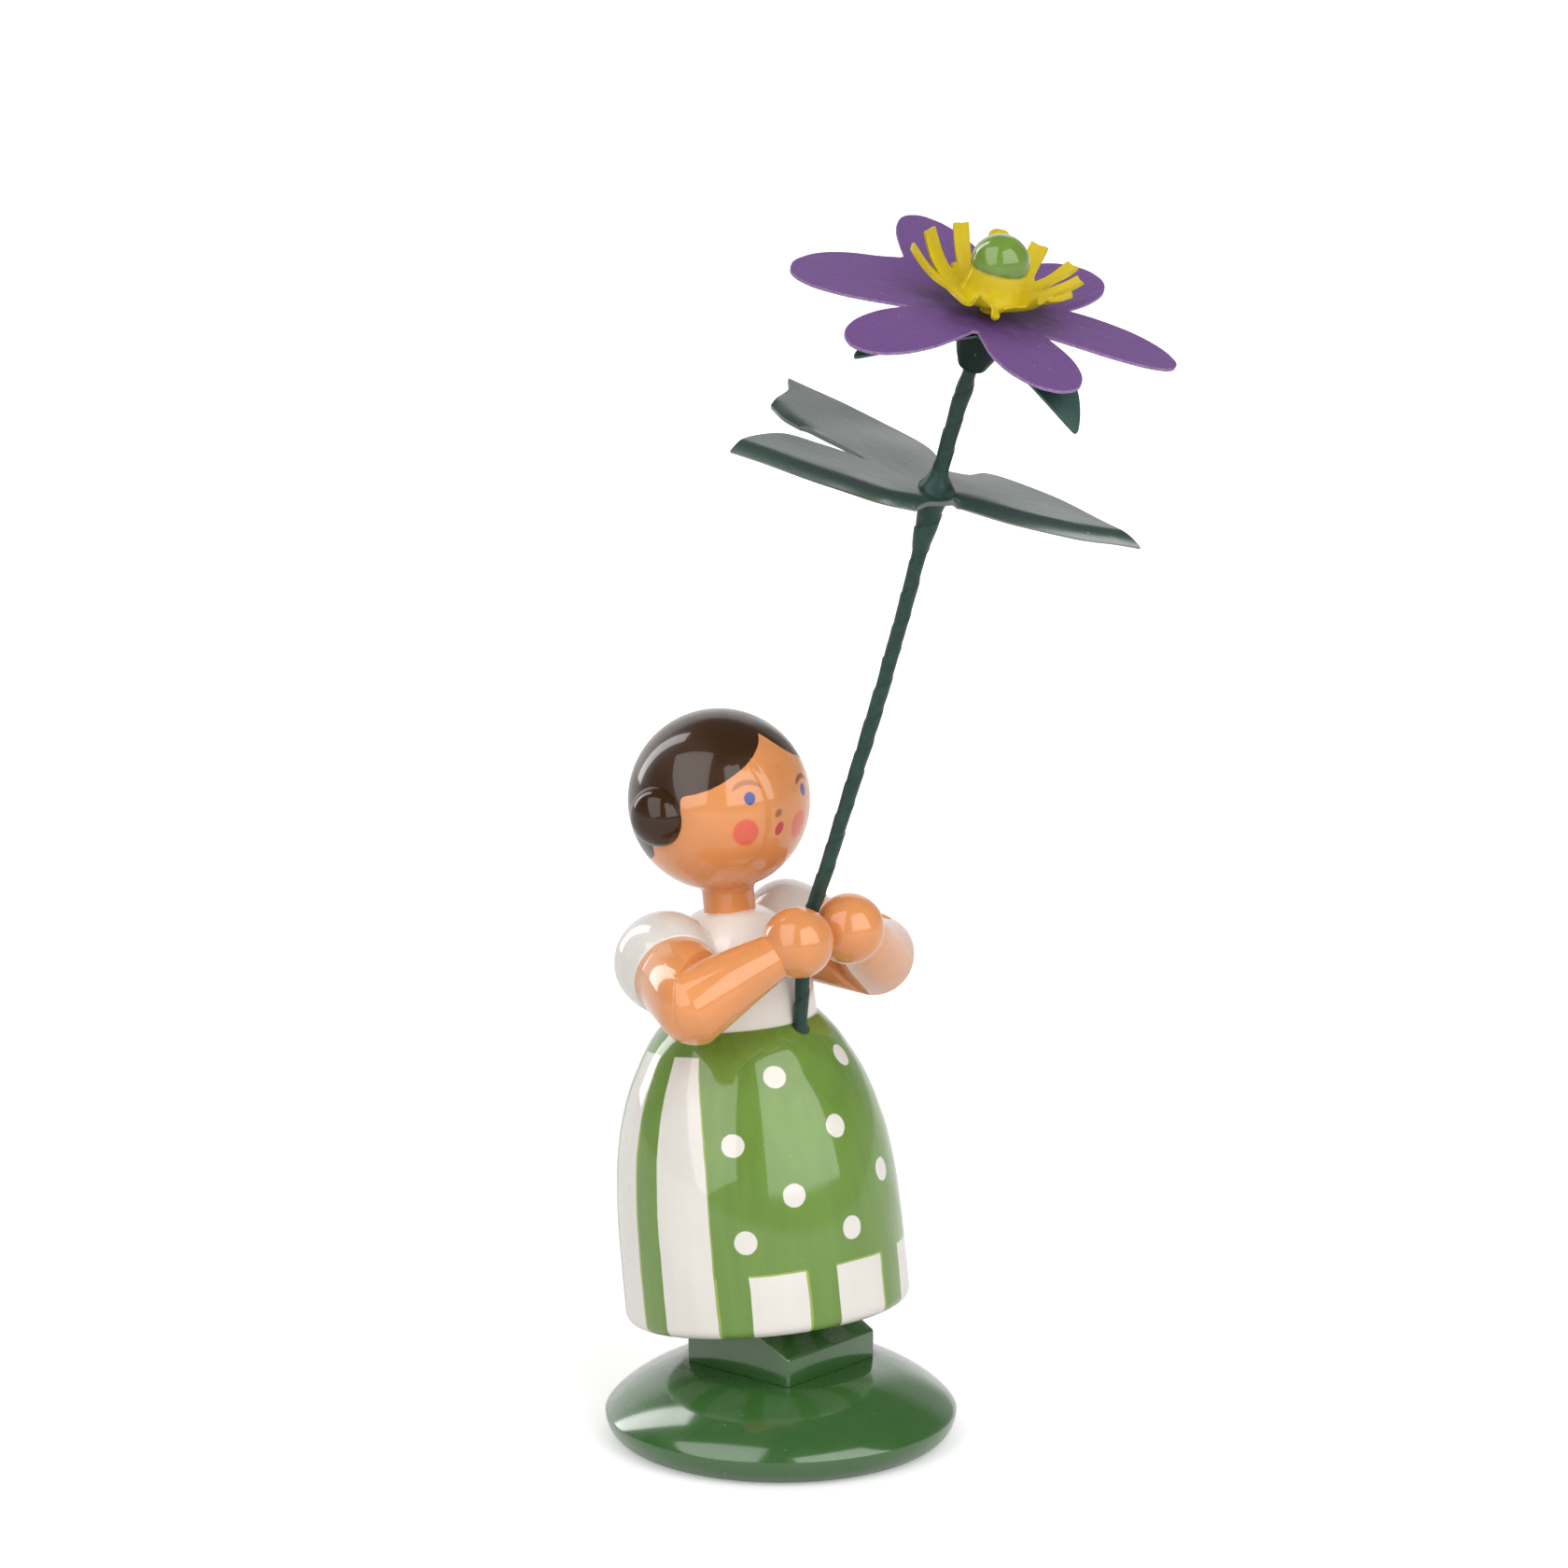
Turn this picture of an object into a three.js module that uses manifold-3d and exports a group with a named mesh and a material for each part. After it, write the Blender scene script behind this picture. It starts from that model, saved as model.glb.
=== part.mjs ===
// A small lacquered wooden figurine of a girl who holds a single long-stemmed flower.
// Millimetres, +Z up. The origin is the centre of the base's underside, and the figure faces -Y.
// Each turned piece is a lathe profile; pegs and sockets share their sizes and one clearance.
import * as THREE from "three";
import { mergeVertices } from "three/addons/utils/BufferGeometryUtils.js";
import Module from "manifold-3d";

const wasm = await Module();
wasm.setup();

const deg = THREE.MathUtils.degToRad;

// Clearances: round a peg in its hole, at a glued face, and round a threaded wire.
const FIT = 0.2;
const GLUE = 0.25;
const WIRE_FIT = 0.12;

// Base disc: radius, radius of its lower edge, height of its flat seat, and how flat its dome is.
const BASE_R = 16.95;
const BASE_EDGE = 2.7;
const BASE_H = 7.5;
const BASE_DOME = 1.52;
const SEAT_RIM = 0.3;

// Square block on the seat: side, front height, bevel above the front, height under the body's
// centre, and its small turn on the seat.
const BLOCK_SIDE = 12.8;
const BLOCK_FRONT = 2.8;
const BLOCK_BEVEL = deg(27);
const BLOCK_H = 4.83;
const BLOCK_TURN = deg(2.5);

// The body leans back on the block and stands a little behind its centre.
const LEAN = deg(7.43);
const BODY_BACK = 1.62;

// Dowel that ties base, block and skirt.
const DOWEL_R = 1.75;
const DOWEL_IN_BASE = 4.2;
const DOWEL_IN_SKIRT = 9;

// Skirt: height, largest radius, radius of its lower edge.
const SKIRT_H = 28.5;
const SKIRT_R = 13.7;
const SKIRT_EDGE = 1.1;
// Its turned outline, as shares of the height and of the way from the waist to the largest radius.
const SKIRT_LINE = [
  [0.17, 1],
  [0.36, 0.985],
  [0.46, 0.955],
  [0.55, 0.91],
  [0.64, 0.835],
  [0.73, 0.72],
  [0.8, 0.6],
  [0.87, 0.44],
  [0.925, 0.3],
  [0.965, 0.17],
];

// Blouse: waist radius, height, and the spigot that sits in the skirt.
const WAIST_R = 7.4;
const BLOUSE_H = 10.6;
const SPIGOT_R = 3.2;
const SPIGOT_L = 6;
// Its turned outline, as shares of the height and of the waist radius.
const BLOUSE_LINE = [
  [0.22, 0.985],
  [0.45, 0.955],
  [0.6, 0.905],
  [0.73, 0.82],
  [0.84, 0.7],
  [0.92, 0.565],
  [0.97, 0.45],
];

// Head with its neck, and the neck's peg in the blouse.
const HEAD_R = 8.72;
const NECK_R = 2.5;
const NECK_H = 1.8;
const NECK_PEG_R = 1.5;
const NECK_PEG_L = 3.6;

// Hair buns: a flattened ball over each ear.
const BUN_R = 2.9;
const BUN_RISE = 2;
const BUN_SINK = 0.3;
const BUN_DROP = deg(-1);

// Arms, in the body's frame: how far shoulders, elbows and hands stand above the waist, and their
// centres for the side where x is positive.
const SHOULDER_UP = 7.1;
const ELBOW_UP = 4.25;
const HAND_UP = 8.6;
const SHOULDER = new THREE.Vector3(8.2, 1.2, SKIRT_H + SHOULDER_UP);
const ELBOW = new THREE.Vector3(12.3, -6.5, SKIRT_H + ELBOW_UP);
const HAND_Y = -12.03;
const HAND_Z = SKIRT_H + HAND_UP;
const HAND_R = 3.4;
const HAND_GAP = 0.3;

// Puffed sleeve round the upper arm's line: radius, its reach to the body and its curve to the cuff.
const SLEEVE_R = 4.9;
const SLEEVE_BACK = 4.2;
const SLEEVE_FRONT = 6.8;
const SLEEVE_CUFF = 3.4;
const SHOULDER_DOWEL_R = 1.1;
const SHOULDER_DOWEL_IN = 2.6;

// Upper arm and forearm: radii, the round of the elbow, and the upper arm's peg in the sleeve.
const ARM_R = 4.15;
const ELBOW_R = 3.95;
const ELBOW_ROUND = 4.02;
const WRIST_R = 2.2;
const ARM_PEG_R = 1.3;
const ARM_PEG_L = 1.4;

// Flower stem: wire core, tape round it, depth in the skirt, where it leaves the waist, and the
// tilt and length of its line above the hands.
const WIRE_R = 0.35;
const STEM_R = 0.7;
const STEM_SET = 6;
const STEM_AT_WAIST = 0.3;
const STEM_OUT = 0.45;
const GRIP_GAP = 0.18;
const STEM_TILT = deg(27.46);
const STEM_L = 66.36;
// How far the stem bends forward of that line, at shares of its length.
const STEM_LINE = [
  [0.1, 0.18],
  [0.25, 0.33],
  [0.4, 0.45],
  [0.55, 0.3],
  [0.7, -0.08],
  [0.82, -0.32],
];

// Three-lobed leaf across the stem, and the tape binding below it. Its cut edge is seen from above,
// with the figure's front below, as smooth runs from corner to corner.
const LEAF_AT = 0.72;
const LEAF_T = 0.5;
const LEAF_STEPS = 4;
const LEAF_EDGE = [
  // Lobe that points back: its long side, its slanted end, and the slit beside the next lobe.
  [[3.9, 2.6], [6.2, 6.8], [5.2, 16], [3.6, 23]],
  [[3.6, 23], [1.8, 21.2], [-1, 20.1], [-2.2, 19.5]],
  [[-2.2, 19.5], [-3, 17], [-2.75, 13.8], [-2.2, 8]],
  // Lobe at the figure's right: its side by the slit, and its side to the front.
  [[-2.2, 8], [-3.5, 11.6], [-5.8, 15], [-9.3, 15.1], [-12.9, 14.2]],
  [[-12.9, 14.2], [-11, 10.5], [-8.7, 5.8], [-6.3, 1.2], [-3.7, -1.2]],
  // Round the front of the stem, and the lobe at the figure's left.
  [[-3.7, -1.2], [-0.8, -2.4], [0.9, -2.4]],
  [[0.9, -2.4], [4.1, -7.3], [7.7, -11.4], [11, -13.6], [12.6, -15]],
  [[12.6, -15], [11.9, -11.6], [10.7, -4.4], [8, 0.8], [5.7, 1.15], [3.9, 2.6]],
];
const BINDING_L = 5.8;
const BINDING_TOP_R = 1.28;
const BINDING_END_R = 1.02;

// Flower head: tilt of the cup and of the flower from the body's line, and what the wire carries.
const CUP_TILT = deg(29.4);
const FLOWER_TILT = deg(22.6);
const CUP_H = 4.3;
const CUP_R = 2.2;
const BRACT_T = 0.35;
const BRACT_HUB_R = 2.9;
const BRACTS = [
  { turn: 172, reach: 15, width: 4.7, lift: -2.5 },
  { turn: 262, reach: 15.2, width: 5, lift: -4.3 },
  { turn: 45, reach: 14.6, width: 4.9, lift: -3 },
];
const PETAL_T = 0.4;
const PETAL_HUB_R = 5.6;
const PETALS = [
  { turn: 110.4, reach: 19.4, width: 11.2, lift: -1.3, roll: -0.33 },
  { turn: 174.6, reach: 16.5, width: 7.8, lift: -1.55, roll: -0.18 },
  { turn: 246.8, reach: 16, width: 8.2, lift: -0.85, roll: -0.23 },
  { turn: 318.1, reach: 17.9, width: 9.4, lift: -2.1, roll: -0.14 },
  { turn: 12.5, reach: 18.5, width: 8.4, lift: 0.07, roll: 0.14 },
  { turn: 62.4, reach: 19.8, width: 8.7, lift: 1.35, roll: 0.64 },
];
const STAMEN_T = 0.35;
const STAMEN_HUB_R = 3.9;
const STAMEN_FLAT_R = 3.2;
const STAMEN_RISE = 1;
const STAMEN_ROLL_R = 1.5;
const STAMEN_W = 1.5;
const STAMENS = [
  { turn: 10, reach: 6.6, lift: 4.1 },
  { turn: 44, reach: 6.6, lift: 4.6 },
  { turn: 77, reach: 6.9, lift: 4.5 },
  { turn: 100, reach: 7.8, lift: 3.9 },
  { turn: 119, reach: 8.6, lift: 2.5 },
  { turn: 205, reach: 3.9, lift: 0 },
  { turn: 232, reach: 4, lift: 0 },
  { turn: 317, reach: 7.4, lift: 0.2 },
  { turn: 329, reach: 8.5, lift: 1.6 },
  { turn: 342, reach: 8.2, lift: 3 },
];
const BEAD_R = 2.7;
const BEAD_H = 5.55;
const BEAD_FOOT_R = 2.9;
const BEAD_FOOT_H = 0.3;
const BEAD_BORE = 2.6;

// Derived places.
const SEAT_R = BLOCK_SIDE / Math.SQRT2 + SEAT_RIM;
const BODY_Z = BASE_H + BLOCK_H;
const NECK_Z = SKIRT_H + GLUE + BLOUSE_H;
const HEAD_Z = NECK_Z + GLUE + NECK_H + Math.sqrt(HEAD_R ** 2 - NECK_R ** 2);
const HAND_X = HAND_R + HAND_GAP / 2;
const Z_AXIS = new THREE.Vector3(0, 0, 1);

// Lacquers and sheet materials.
const paint = (color, roughness = 0.18) =>
  new THREE.MeshStandardMaterial({ color, roughness, metalness: 0 });
const BASE_GREEN = paint(0x2d5c30);
const SKIRT_GREEN = paint(0x6f9a48);
const WHITE = paint(0xefe9e3);
const SKIN = paint(0xe89e6a);
const HAIR = paint(0x43301c);
const STEM_GREEN = paint(0x24483f, 0.45);
const LEAF_GREEN = paint(0x2f5248, 0.4);
const PURPLE = paint(0x6e4a8c, 0.6);
const YELLOW = paint(0xdcc20f, 0.45);
const BEAD_GREEN = paint(0x5f9a45, 0.08);
const BARE_WOOD = paint(0xd8b98a, 0.7);
const WIRE = new THREE.MeshStandardMaterial({ color: 0x9a9c9e, roughness: 0.4, metalness: 1 });

// A closed geometry as a solid that can be joined and cut.
function solid(geometry) {
  const bare = new THREE.BufferGeometry().setAttribute("position", geometry.getAttribute("position"));
  if (geometry.index) bare.setIndex(geometry.index);
  const merged = mergeVertices(bare, 1e-4);
  const index = merged.index.array;
  const kept = [];
  for (let i = 0; i < index.length; i += 3) {
    const [a, b, c] = [index[i], index[i + 1], index[i + 2]];
    if (a !== b && b !== c && c !== a) kept.push(a, b, c);
  }
  const mesh = new wasm.Mesh({
    numProp: 3,
    vertProperties: merged.getAttribute("position").array,
    triVerts: new Uint32Array(kept),
  });
  return new wasm.Manifold(mesh);
}

// A solid back as a geometry with flat faces.
function shape(body) {
  const mesh = body.getMesh();
  const geometry = new THREE.BufferGeometry()
    .setAttribute("position", new THREE.BufferAttribute(mesh.vertProperties, 3))
    .setIndex(new THREE.BufferAttribute(mesh.triVerts, 1));
  const flat = geometry.toNonIndexed();
  flat.computeVertexNormals();
  return flat;
}

// A turned solid about +Z from [radius, height] pairs, bottom first.
function turned(profile, sides) {
  const points = profile.map(([r, z]) => new THREE.Vector2(Math.max(r, 0), z));
  return new THREE.LatheGeometry(points, sides).rotateX(Math.PI / 2);
}

// Points of an arc round [r, z] from one angle to another, in degrees above the outward direction.
function arc(r, z, radius, from, to, steps) {
  return Array.from({ length: steps + 1 }, (_, i) => {
    const a = deg(from + ((to - from) * i) / steps);
    return [r + radius * Math.cos(a), z + radius * Math.sin(a)];
  });
}

// Moves a geometry that stands on +Z so that it starts at a point and follows a direction.
function along(geometry, start, direction) {
  const turn = new THREE.Quaternion().setFromUnitVectors(Z_AXIS, direction.clone().normalize());
  return geometry.applyMatrix4(
    new THREE.Matrix4().compose(start, turn, new THREE.Vector3(1, 1, 1)),
  );
}

// A round rod between two points.
function rod(from, to, radius, sides) {
  const way = to.clone().sub(from);
  const bar = new THREE.CylinderGeometry(radius, radius, way.length(), sides).rotateX(Math.PI / 2);
  return along(bar.translate(0, 0, way.length() / 2), from, way);
}

// All space on one side of a plane, as a large block.
function beyond(point, normal) {
  const side = 60;
  return solid(along(new THREE.BoxGeometry(side, side, side).translate(0, 0, side / 2), point, normal));
}

// A thin sheet of even thickness over a grid of points, rows first.
function sheet(rows, thickness) {
  const last = rows.length - 1;
  const wide = rows[0].length - 1;
  const at = (i, j) => rows[Math.min(Math.max(i, 0), last)][Math.min(Math.max(j, 0), wide)];
  const top = [];
  const under = [];
  rows.forEach((row, i) =>
    row.forEach((p, j) => {
      const u = at(i + 1, j).clone().sub(at(i - 1, j));
      const v = at(i, j + 1).clone().sub(at(i, j - 1));
      const n = u.cross(v).normalize().multiplyScalar(thickness / 2);
      top.push(p.clone().add(n));
      under.push(p.clone().sub(n));
    }),
  );
  const id = (i, j) => i * (wide + 1) + j;
  const low = top.length;
  const faces = [];
  const quad = (a, b, c, d) => faces.push(a, b, c, a, c, d);
  for (let i = 0; i < last; i++)
    for (let j = 0; j < wide; j++) {
      quad(id(i, j), id(i + 1, j), id(i + 1, j + 1), id(i, j + 1));
      quad(low + id(i, j), low + id(i, j + 1), low + id(i + 1, j + 1), low + id(i + 1, j));
    }
  for (let i = 0; i < last; i++) {
    quad(id(i, 0), low + id(i, 0), low + id(i + 1, 0), id(i + 1, 0));
    quad(id(i + 1, wide), low + id(i + 1, wide), low + id(i, wide), id(i, wide));
  }
  for (let j = 0; j < wide; j++) {
    quad(id(0, j + 1), low + id(0, j + 1), low + id(0, j), id(0, j));
    quad(id(last, j), low + id(last, j), low + id(last, j + 1), id(last, j + 1));
  }
  const all = [...top, ...under].flatMap((p) => [p.x, p.y, p.z]);
  return new THREE.BufferGeometry()
    .setAttribute("position", new THREE.Float32BufferAttribute(all, 3))
    .setIndex(faces);
}

// One lobe of a cut sheet, from the hub out along +X and then turned about +Z. Its half width
// follows the given outline, its end is lifted beyond a flat part and rolled to one side, and it is
// arched across its width.
function lobe(cut, outline, thickness, arch = 0, across = 4) {
  const { turn, reach, width, lift, flat = 0, roll = 0 } = cut;
  const spin = new THREE.Matrix4().makeRotationZ(deg(turn));
  const rows = outline.map(([share, wide]) => {
    const half = (width / 2) * wide;
    const free = Math.max(0, (reach * share - flat) / (reach - flat));
    return Array.from({ length: across + 1 }, (_, j) => {
      const y = half * ((2 * j) / across - 1);
      const sag = (arch * y ** 2) / (width / 2) ** 2 - arch * wide ** 2 * 0.5;
      const tip = (roll * share * y) / (width / 2);
      return new THREE.Vector3(reach * share, y, lift * free ** 2 + tip - sag).applyMatrix4(spin);
    });
  });
  return solid(sheet(rows, thickness));
}

// Lobes joined to a round hub with a hole in its middle.
function cutSheet(lobes, hubRadius, holeRadius, thickness) {
  const hub = solid(new THREE.CylinderGeometry(hubRadius, hubRadius, thickness, 24).rotateX(Math.PI / 2));
  const hole = solid(new THREE.CylinderGeometry(holeRadius, holeRadius, 6, 12).rotateX(Math.PI / 2));
  return shape(lobes.reduce((whole, one) => whole.add(one), hub).subtract(hole));
}

const figurine = new THREE.Group();
const body = new THREE.Group();
body.position.set(0, BODY_BACK, BODY_Z);
body.rotation.x = -LEAN;
body.updateMatrix();
figurine.add(body);

function piece(name, geometry, material, parent) {
  const mesh = new THREE.Mesh(geometry, material);
  mesh.name = name;
  parent.add(mesh);
  return mesh;
}

// Dowel along the body's line, and the hole it needs.
const dowelFoot = -((BODY_Z - BASE_H) / Math.cos(LEAN) + DOWEL_IN_BASE);
const dowelEnds = [new THREE.Vector3(0, 0, dowelFoot), new THREE.Vector3(0, 0, DOWEL_IN_SKIRT)];
piece("body_dowel", rod(dowelEnds[0], dowelEnds[1], DOWEL_R, 20), BARE_WOOD, body);
const dowelHole = solid(
  rod(new THREE.Vector3(0, 0, dowelFoot - GLUE), dowelEnds[1], DOWEL_R + FIT, 20).applyMatrix4(body.matrix),
);

// Base disc: flat underside, rounded edge, domed top with a flat seat.
const dome = arc(0, 0, 1, 0, 90, 8).map(([c, s]) => [
  SEAT_R + (BASE_R - SEAT_R) * Math.max(c, 0) ** BASE_DOME,
  BASE_EDGE + (BASE_H - BASE_EDGE) * s ** BASE_DOME,
]);
const baseProfile = [
  [0, 0],
  ...arc(BASE_R - BASE_EDGE, BASE_EDGE, BASE_EDGE, -90, 0, 4),
  ...dome.slice(1),
  [0, BASE_H],
];
const disc = solid(turned(baseProfile, 44)).subtract(dowelHole);
piece("base_disc", shape(disc), BASE_GREEN, figurine);

// Block: its top follows the leaning body, and its front top edge is bevelled.
const blockTop = (y) => BODY_Z - GLUE / Math.cos(LEAN) - (y - BODY_BACK) * Math.tan(LEAN);
const frontTop = BASE_H + BLOCK_FRONT;
const half = BLOCK_SIDE / 2;
const ridge =
  (blockTop(0) - frontTop - half * Math.tan(BLOCK_BEVEL)) / (Math.tan(BLOCK_BEVEL) + Math.tan(LEAN));
const blockShape = new THREE.Shape([
  new THREE.Vector2(-half, BASE_H),
  new THREE.Vector2(half, BASE_H),
  new THREE.Vector2(half, blockTop(half)),
  new THREE.Vector2(ridge, blockTop(ridge)),
  new THREE.Vector2(-half, frontTop),
]);
const bar = new THREE.ExtrudeGeometry(blockShape, { depth: BLOCK_SIDE, bevelEnabled: false });
const upright = new THREE.Matrix4().makeBasis(
  new THREE.Vector3(0, 1, 0),
  new THREE.Vector3(0, 0, 1),
  new THREE.Vector3(1, 0, 0),
);
bar.translate(0, 0, -half).applyMatrix4(upright).rotateZ(BLOCK_TURN);
piece("plinth_block", shape(solid(bar).subtract(dowelHole)), BASE_GREEN, figurine);

// Stem line in the body's frame: out of the skirt by the waist, between the hands, up to the flower.
const tilted = (tilt) => new THREE.Vector3(0, -Math.sin(tilt), Math.cos(tilt));
const mouth = new THREE.Vector3(0, -(WAIST_R + STEM_OUT), SKIRT_H - STEM_AT_WAIST);
const gripReach = HAND_R + STEM_R + GRIP_GAP;
const grip = new THREE.Vector3(0, HAND_Y + Math.sqrt(gripReach ** 2 - HAND_X ** 2), HAND_Z);
const rise = tilted(STEM_TILT);
const forward = tilted(STEM_TILT + Math.PI / 2);
const cupAxis = tilted(CUP_TILT);
const flowerAxis = tilted(FLOWER_TILT);
const flowerAt = grip.clone().addScaledVector(rise, STEM_L);
const atHeight = (h, axis = flowerAxis) => flowerAt.clone().addScaledVector(axis, h);
const sink = grip.clone().sub(mouth).normalize();
const stemFoot = mouth.clone().addScaledVector(sink, -STEM_SET);
const cupSlant = CUP_R * Math.tan(CUP_TILT - FLOWER_TILT);
const cupFoot = -(PETAL_T / 2 + BRACT_T + 3 * GLUE + cupSlant + CUP_H);
const beadSeat = PETAL_T / 2 + STAMEN_RISE + STAMEN_T + 2 * GLUE;
const wireTip = beadSeat + BEAD_BORE - GLUE;
const stemLine = new THREE.CatmullRomCurve3([
  stemFoot,
  mouth,
  mouth.clone().lerp(grip, 0.6),
  grip.clone(),
  ...STEM_LINE.map(([share, bend]) =>
    grip.clone().addScaledVector(rise, STEM_L * share).addScaledVector(forward, bend),
  ),
  atHeight(cupFoot - 2, cupAxis),
  atHeight(cupFoot, cupAxis),
  atHeight(0),
  atHeight(wireTip),
]);
stemLine.arcLengthDivisions = 600;
const wireLength = stemLine.getLength();
const tapeLength = wireLength - (wireTip - cupFoot) - GLUE;

// Part of the stem line, from its foot to a given length.
class StemSpan extends THREE.Curve {
  constructor(length) {
    super();
    this.share = length / wireLength;
  }

  getPoint(t, target = new THREE.Vector3()) {
    return stemLine.getPointAt(Math.min(t * this.share, 1), target);
  }
}

function stemTube(length, radius, bore, sides, steps) {
  const ring = new THREE.Shape().absarc(0, 0, radius, 0, Math.PI * 2);
  if (bore) ring.holes.push(new THREE.Path().absarc(0, 0, bore, 0, Math.PI * 2));
  const path = new StemSpan(length);
  return new THREE.ExtrudeGeometry(ring, { steps, extrudePath: path, bevelEnabled: false, curveSegments: sides });
}
piece("stem_wire", stemTube(wireLength, WIRE_R, 0, 3, 30), WIRE, body);
piece("stem_tape", stemTube(tapeLength, STEM_R, WIRE_R + WIRE_FIT, 4, 28), STEM_GREEN, body);

// Skirt: solid, with the dowel's hole below, the blouse's socket above and the stem's hole in front.
const skirtAt = ([share, out]) => [WAIST_R + (SKIRT_R - WAIST_R) * out, SKIRT_H * share];
const skirtProfile = [
  [0, DOWEL_IN_SKIRT + GLUE],
  [DOWEL_R + FIT, DOWEL_IN_SKIRT + GLUE],
  [DOWEL_R + FIT, 0],
  ...arc(SKIRT_R - SKIRT_EDGE, SKIRT_EDGE, SKIRT_EDGE, -90, 0, 3),
  ...SKIRT_LINE.map(skirtAt),
  [WAIST_R, SKIRT_H],
  [SPIGOT_R + FIT, SKIRT_H],
  [SPIGOT_R + FIT, SKIRT_H - SPIGOT_L],
  [0, SKIRT_H - SPIGOT_L],
];
const stemHole = solid(
  rod(
    stemFoot.clone().addScaledVector(sink, -GLUE),
    mouth.clone().addScaledVector(sink, STEM_SET / 2),
    STEM_R + FIT,
    14,
  ),
);
piece("skirt", shape(solid(turned(skirtProfile, 40)).subtract(stemHole)), SKIRT_GREEN, body);

// Blouse: spigot below, neck socket above, a dowel hole in each side and the stem's hole in front.
const blouseFoot = SKIRT_H + GLUE;
function blouseProfile(grow) {
  return [
    [WAIST_R + grow, blouseFoot],
    ...BLOUSE_LINE.map(([share, wide]) => [WAIST_R * wide + grow, blouseFoot + BLOUSE_H * share + grow / 2]),
  ];
}
const blouseTurned = turned(
  [
    [0, SKIRT_H - SPIGOT_L + GLUE],
    [SPIGOT_R, SKIRT_H - SPIGOT_L + GLUE],
    [SPIGOT_R, blouseFoot],
    ...blouseProfile(0),
    [NECK_R + GLUE, NECK_Z],
    [NECK_PEG_R + FIT, NECK_Z],
    [NECK_PEG_R + FIT, NECK_Z - NECK_PEG_L - GLUE],
    [0, NECK_Z - NECK_PEG_L - GLUE],
  ],
  36,
);
const blouseRoom = solid(
  turned([[0, blouseFoot - 2], [WAIST_R + GLUE, blouseFoot - 2], ...blouseProfile(GLUE), [0, NECK_Z + GLUE]], 36),
);
const shoulderHoles = [-1, 1].map((side) => {
  const inner = new THREE.Vector3(side * (NECK_PEG_R + SHOULDER_DOWEL_IN - GLUE), SHOULDER.y, SHOULDER.z);
  const outer = new THREE.Vector3(side * (SHOULDER.x + GLUE), SHOULDER.y, SHOULDER.z);
  return solid(rod(inner, outer, SHOULDER_DOWEL_R + FIT, 14));
});
const blouse = shoulderHoles.reduce((whole, hole) => whole.subtract(hole), solid(blouseTurned));
piece("blouse", shape(blouse.subtract(stemHole)), WHITE, body);

// Head: ball, neck and peg in one turning.
const chin = THREE.MathUtils.radToDeg(Math.asin(NECK_R / HEAD_R));
const headProfile = [
  [0, NECK_Z - NECK_PEG_L],
  [NECK_PEG_R, NECK_Z - NECK_PEG_L],
  [NECK_PEG_R, NECK_Z + GLUE],
  [NECK_R, NECK_Z + GLUE],
  ...arc(0, HEAD_Z, HEAD_R, chin - 90, 90, 12),
];
piece("head", turned(headProfile, 32), SKIN, body);

// Hair buns, hollowed to the ball of the head.
const headCentre = new THREE.Vector3(0, 0, HEAD_Z);
const headRoom = solid(
  new THREE.SphereGeometry(HEAD_R + GLUE, 32, 24).translate(headCentre.x, headCentre.y, headCentre.z),
);
for (const [side, name] of [
  [-1, "hair_bun_right"],
  [1, "hair_bun_left"],
]) {
  const out = new THREE.Vector3(side * Math.cos(BUN_DROP), 0, Math.sin(BUN_DROP));
  const ball = new THREE.SphereGeometry(BUN_R, 20, 12).rotateX(Math.PI / 2);
  ball.scale(1, 1, (BUN_RISE + BUN_SINK) / BUN_R);
  const at = headCentre.clone().addScaledVector(out, HEAD_R - BUN_SINK);
  piece(name, shape(solid(along(ball, at, out)).subtract(headRoom)), HAIR, body);
}

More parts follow.
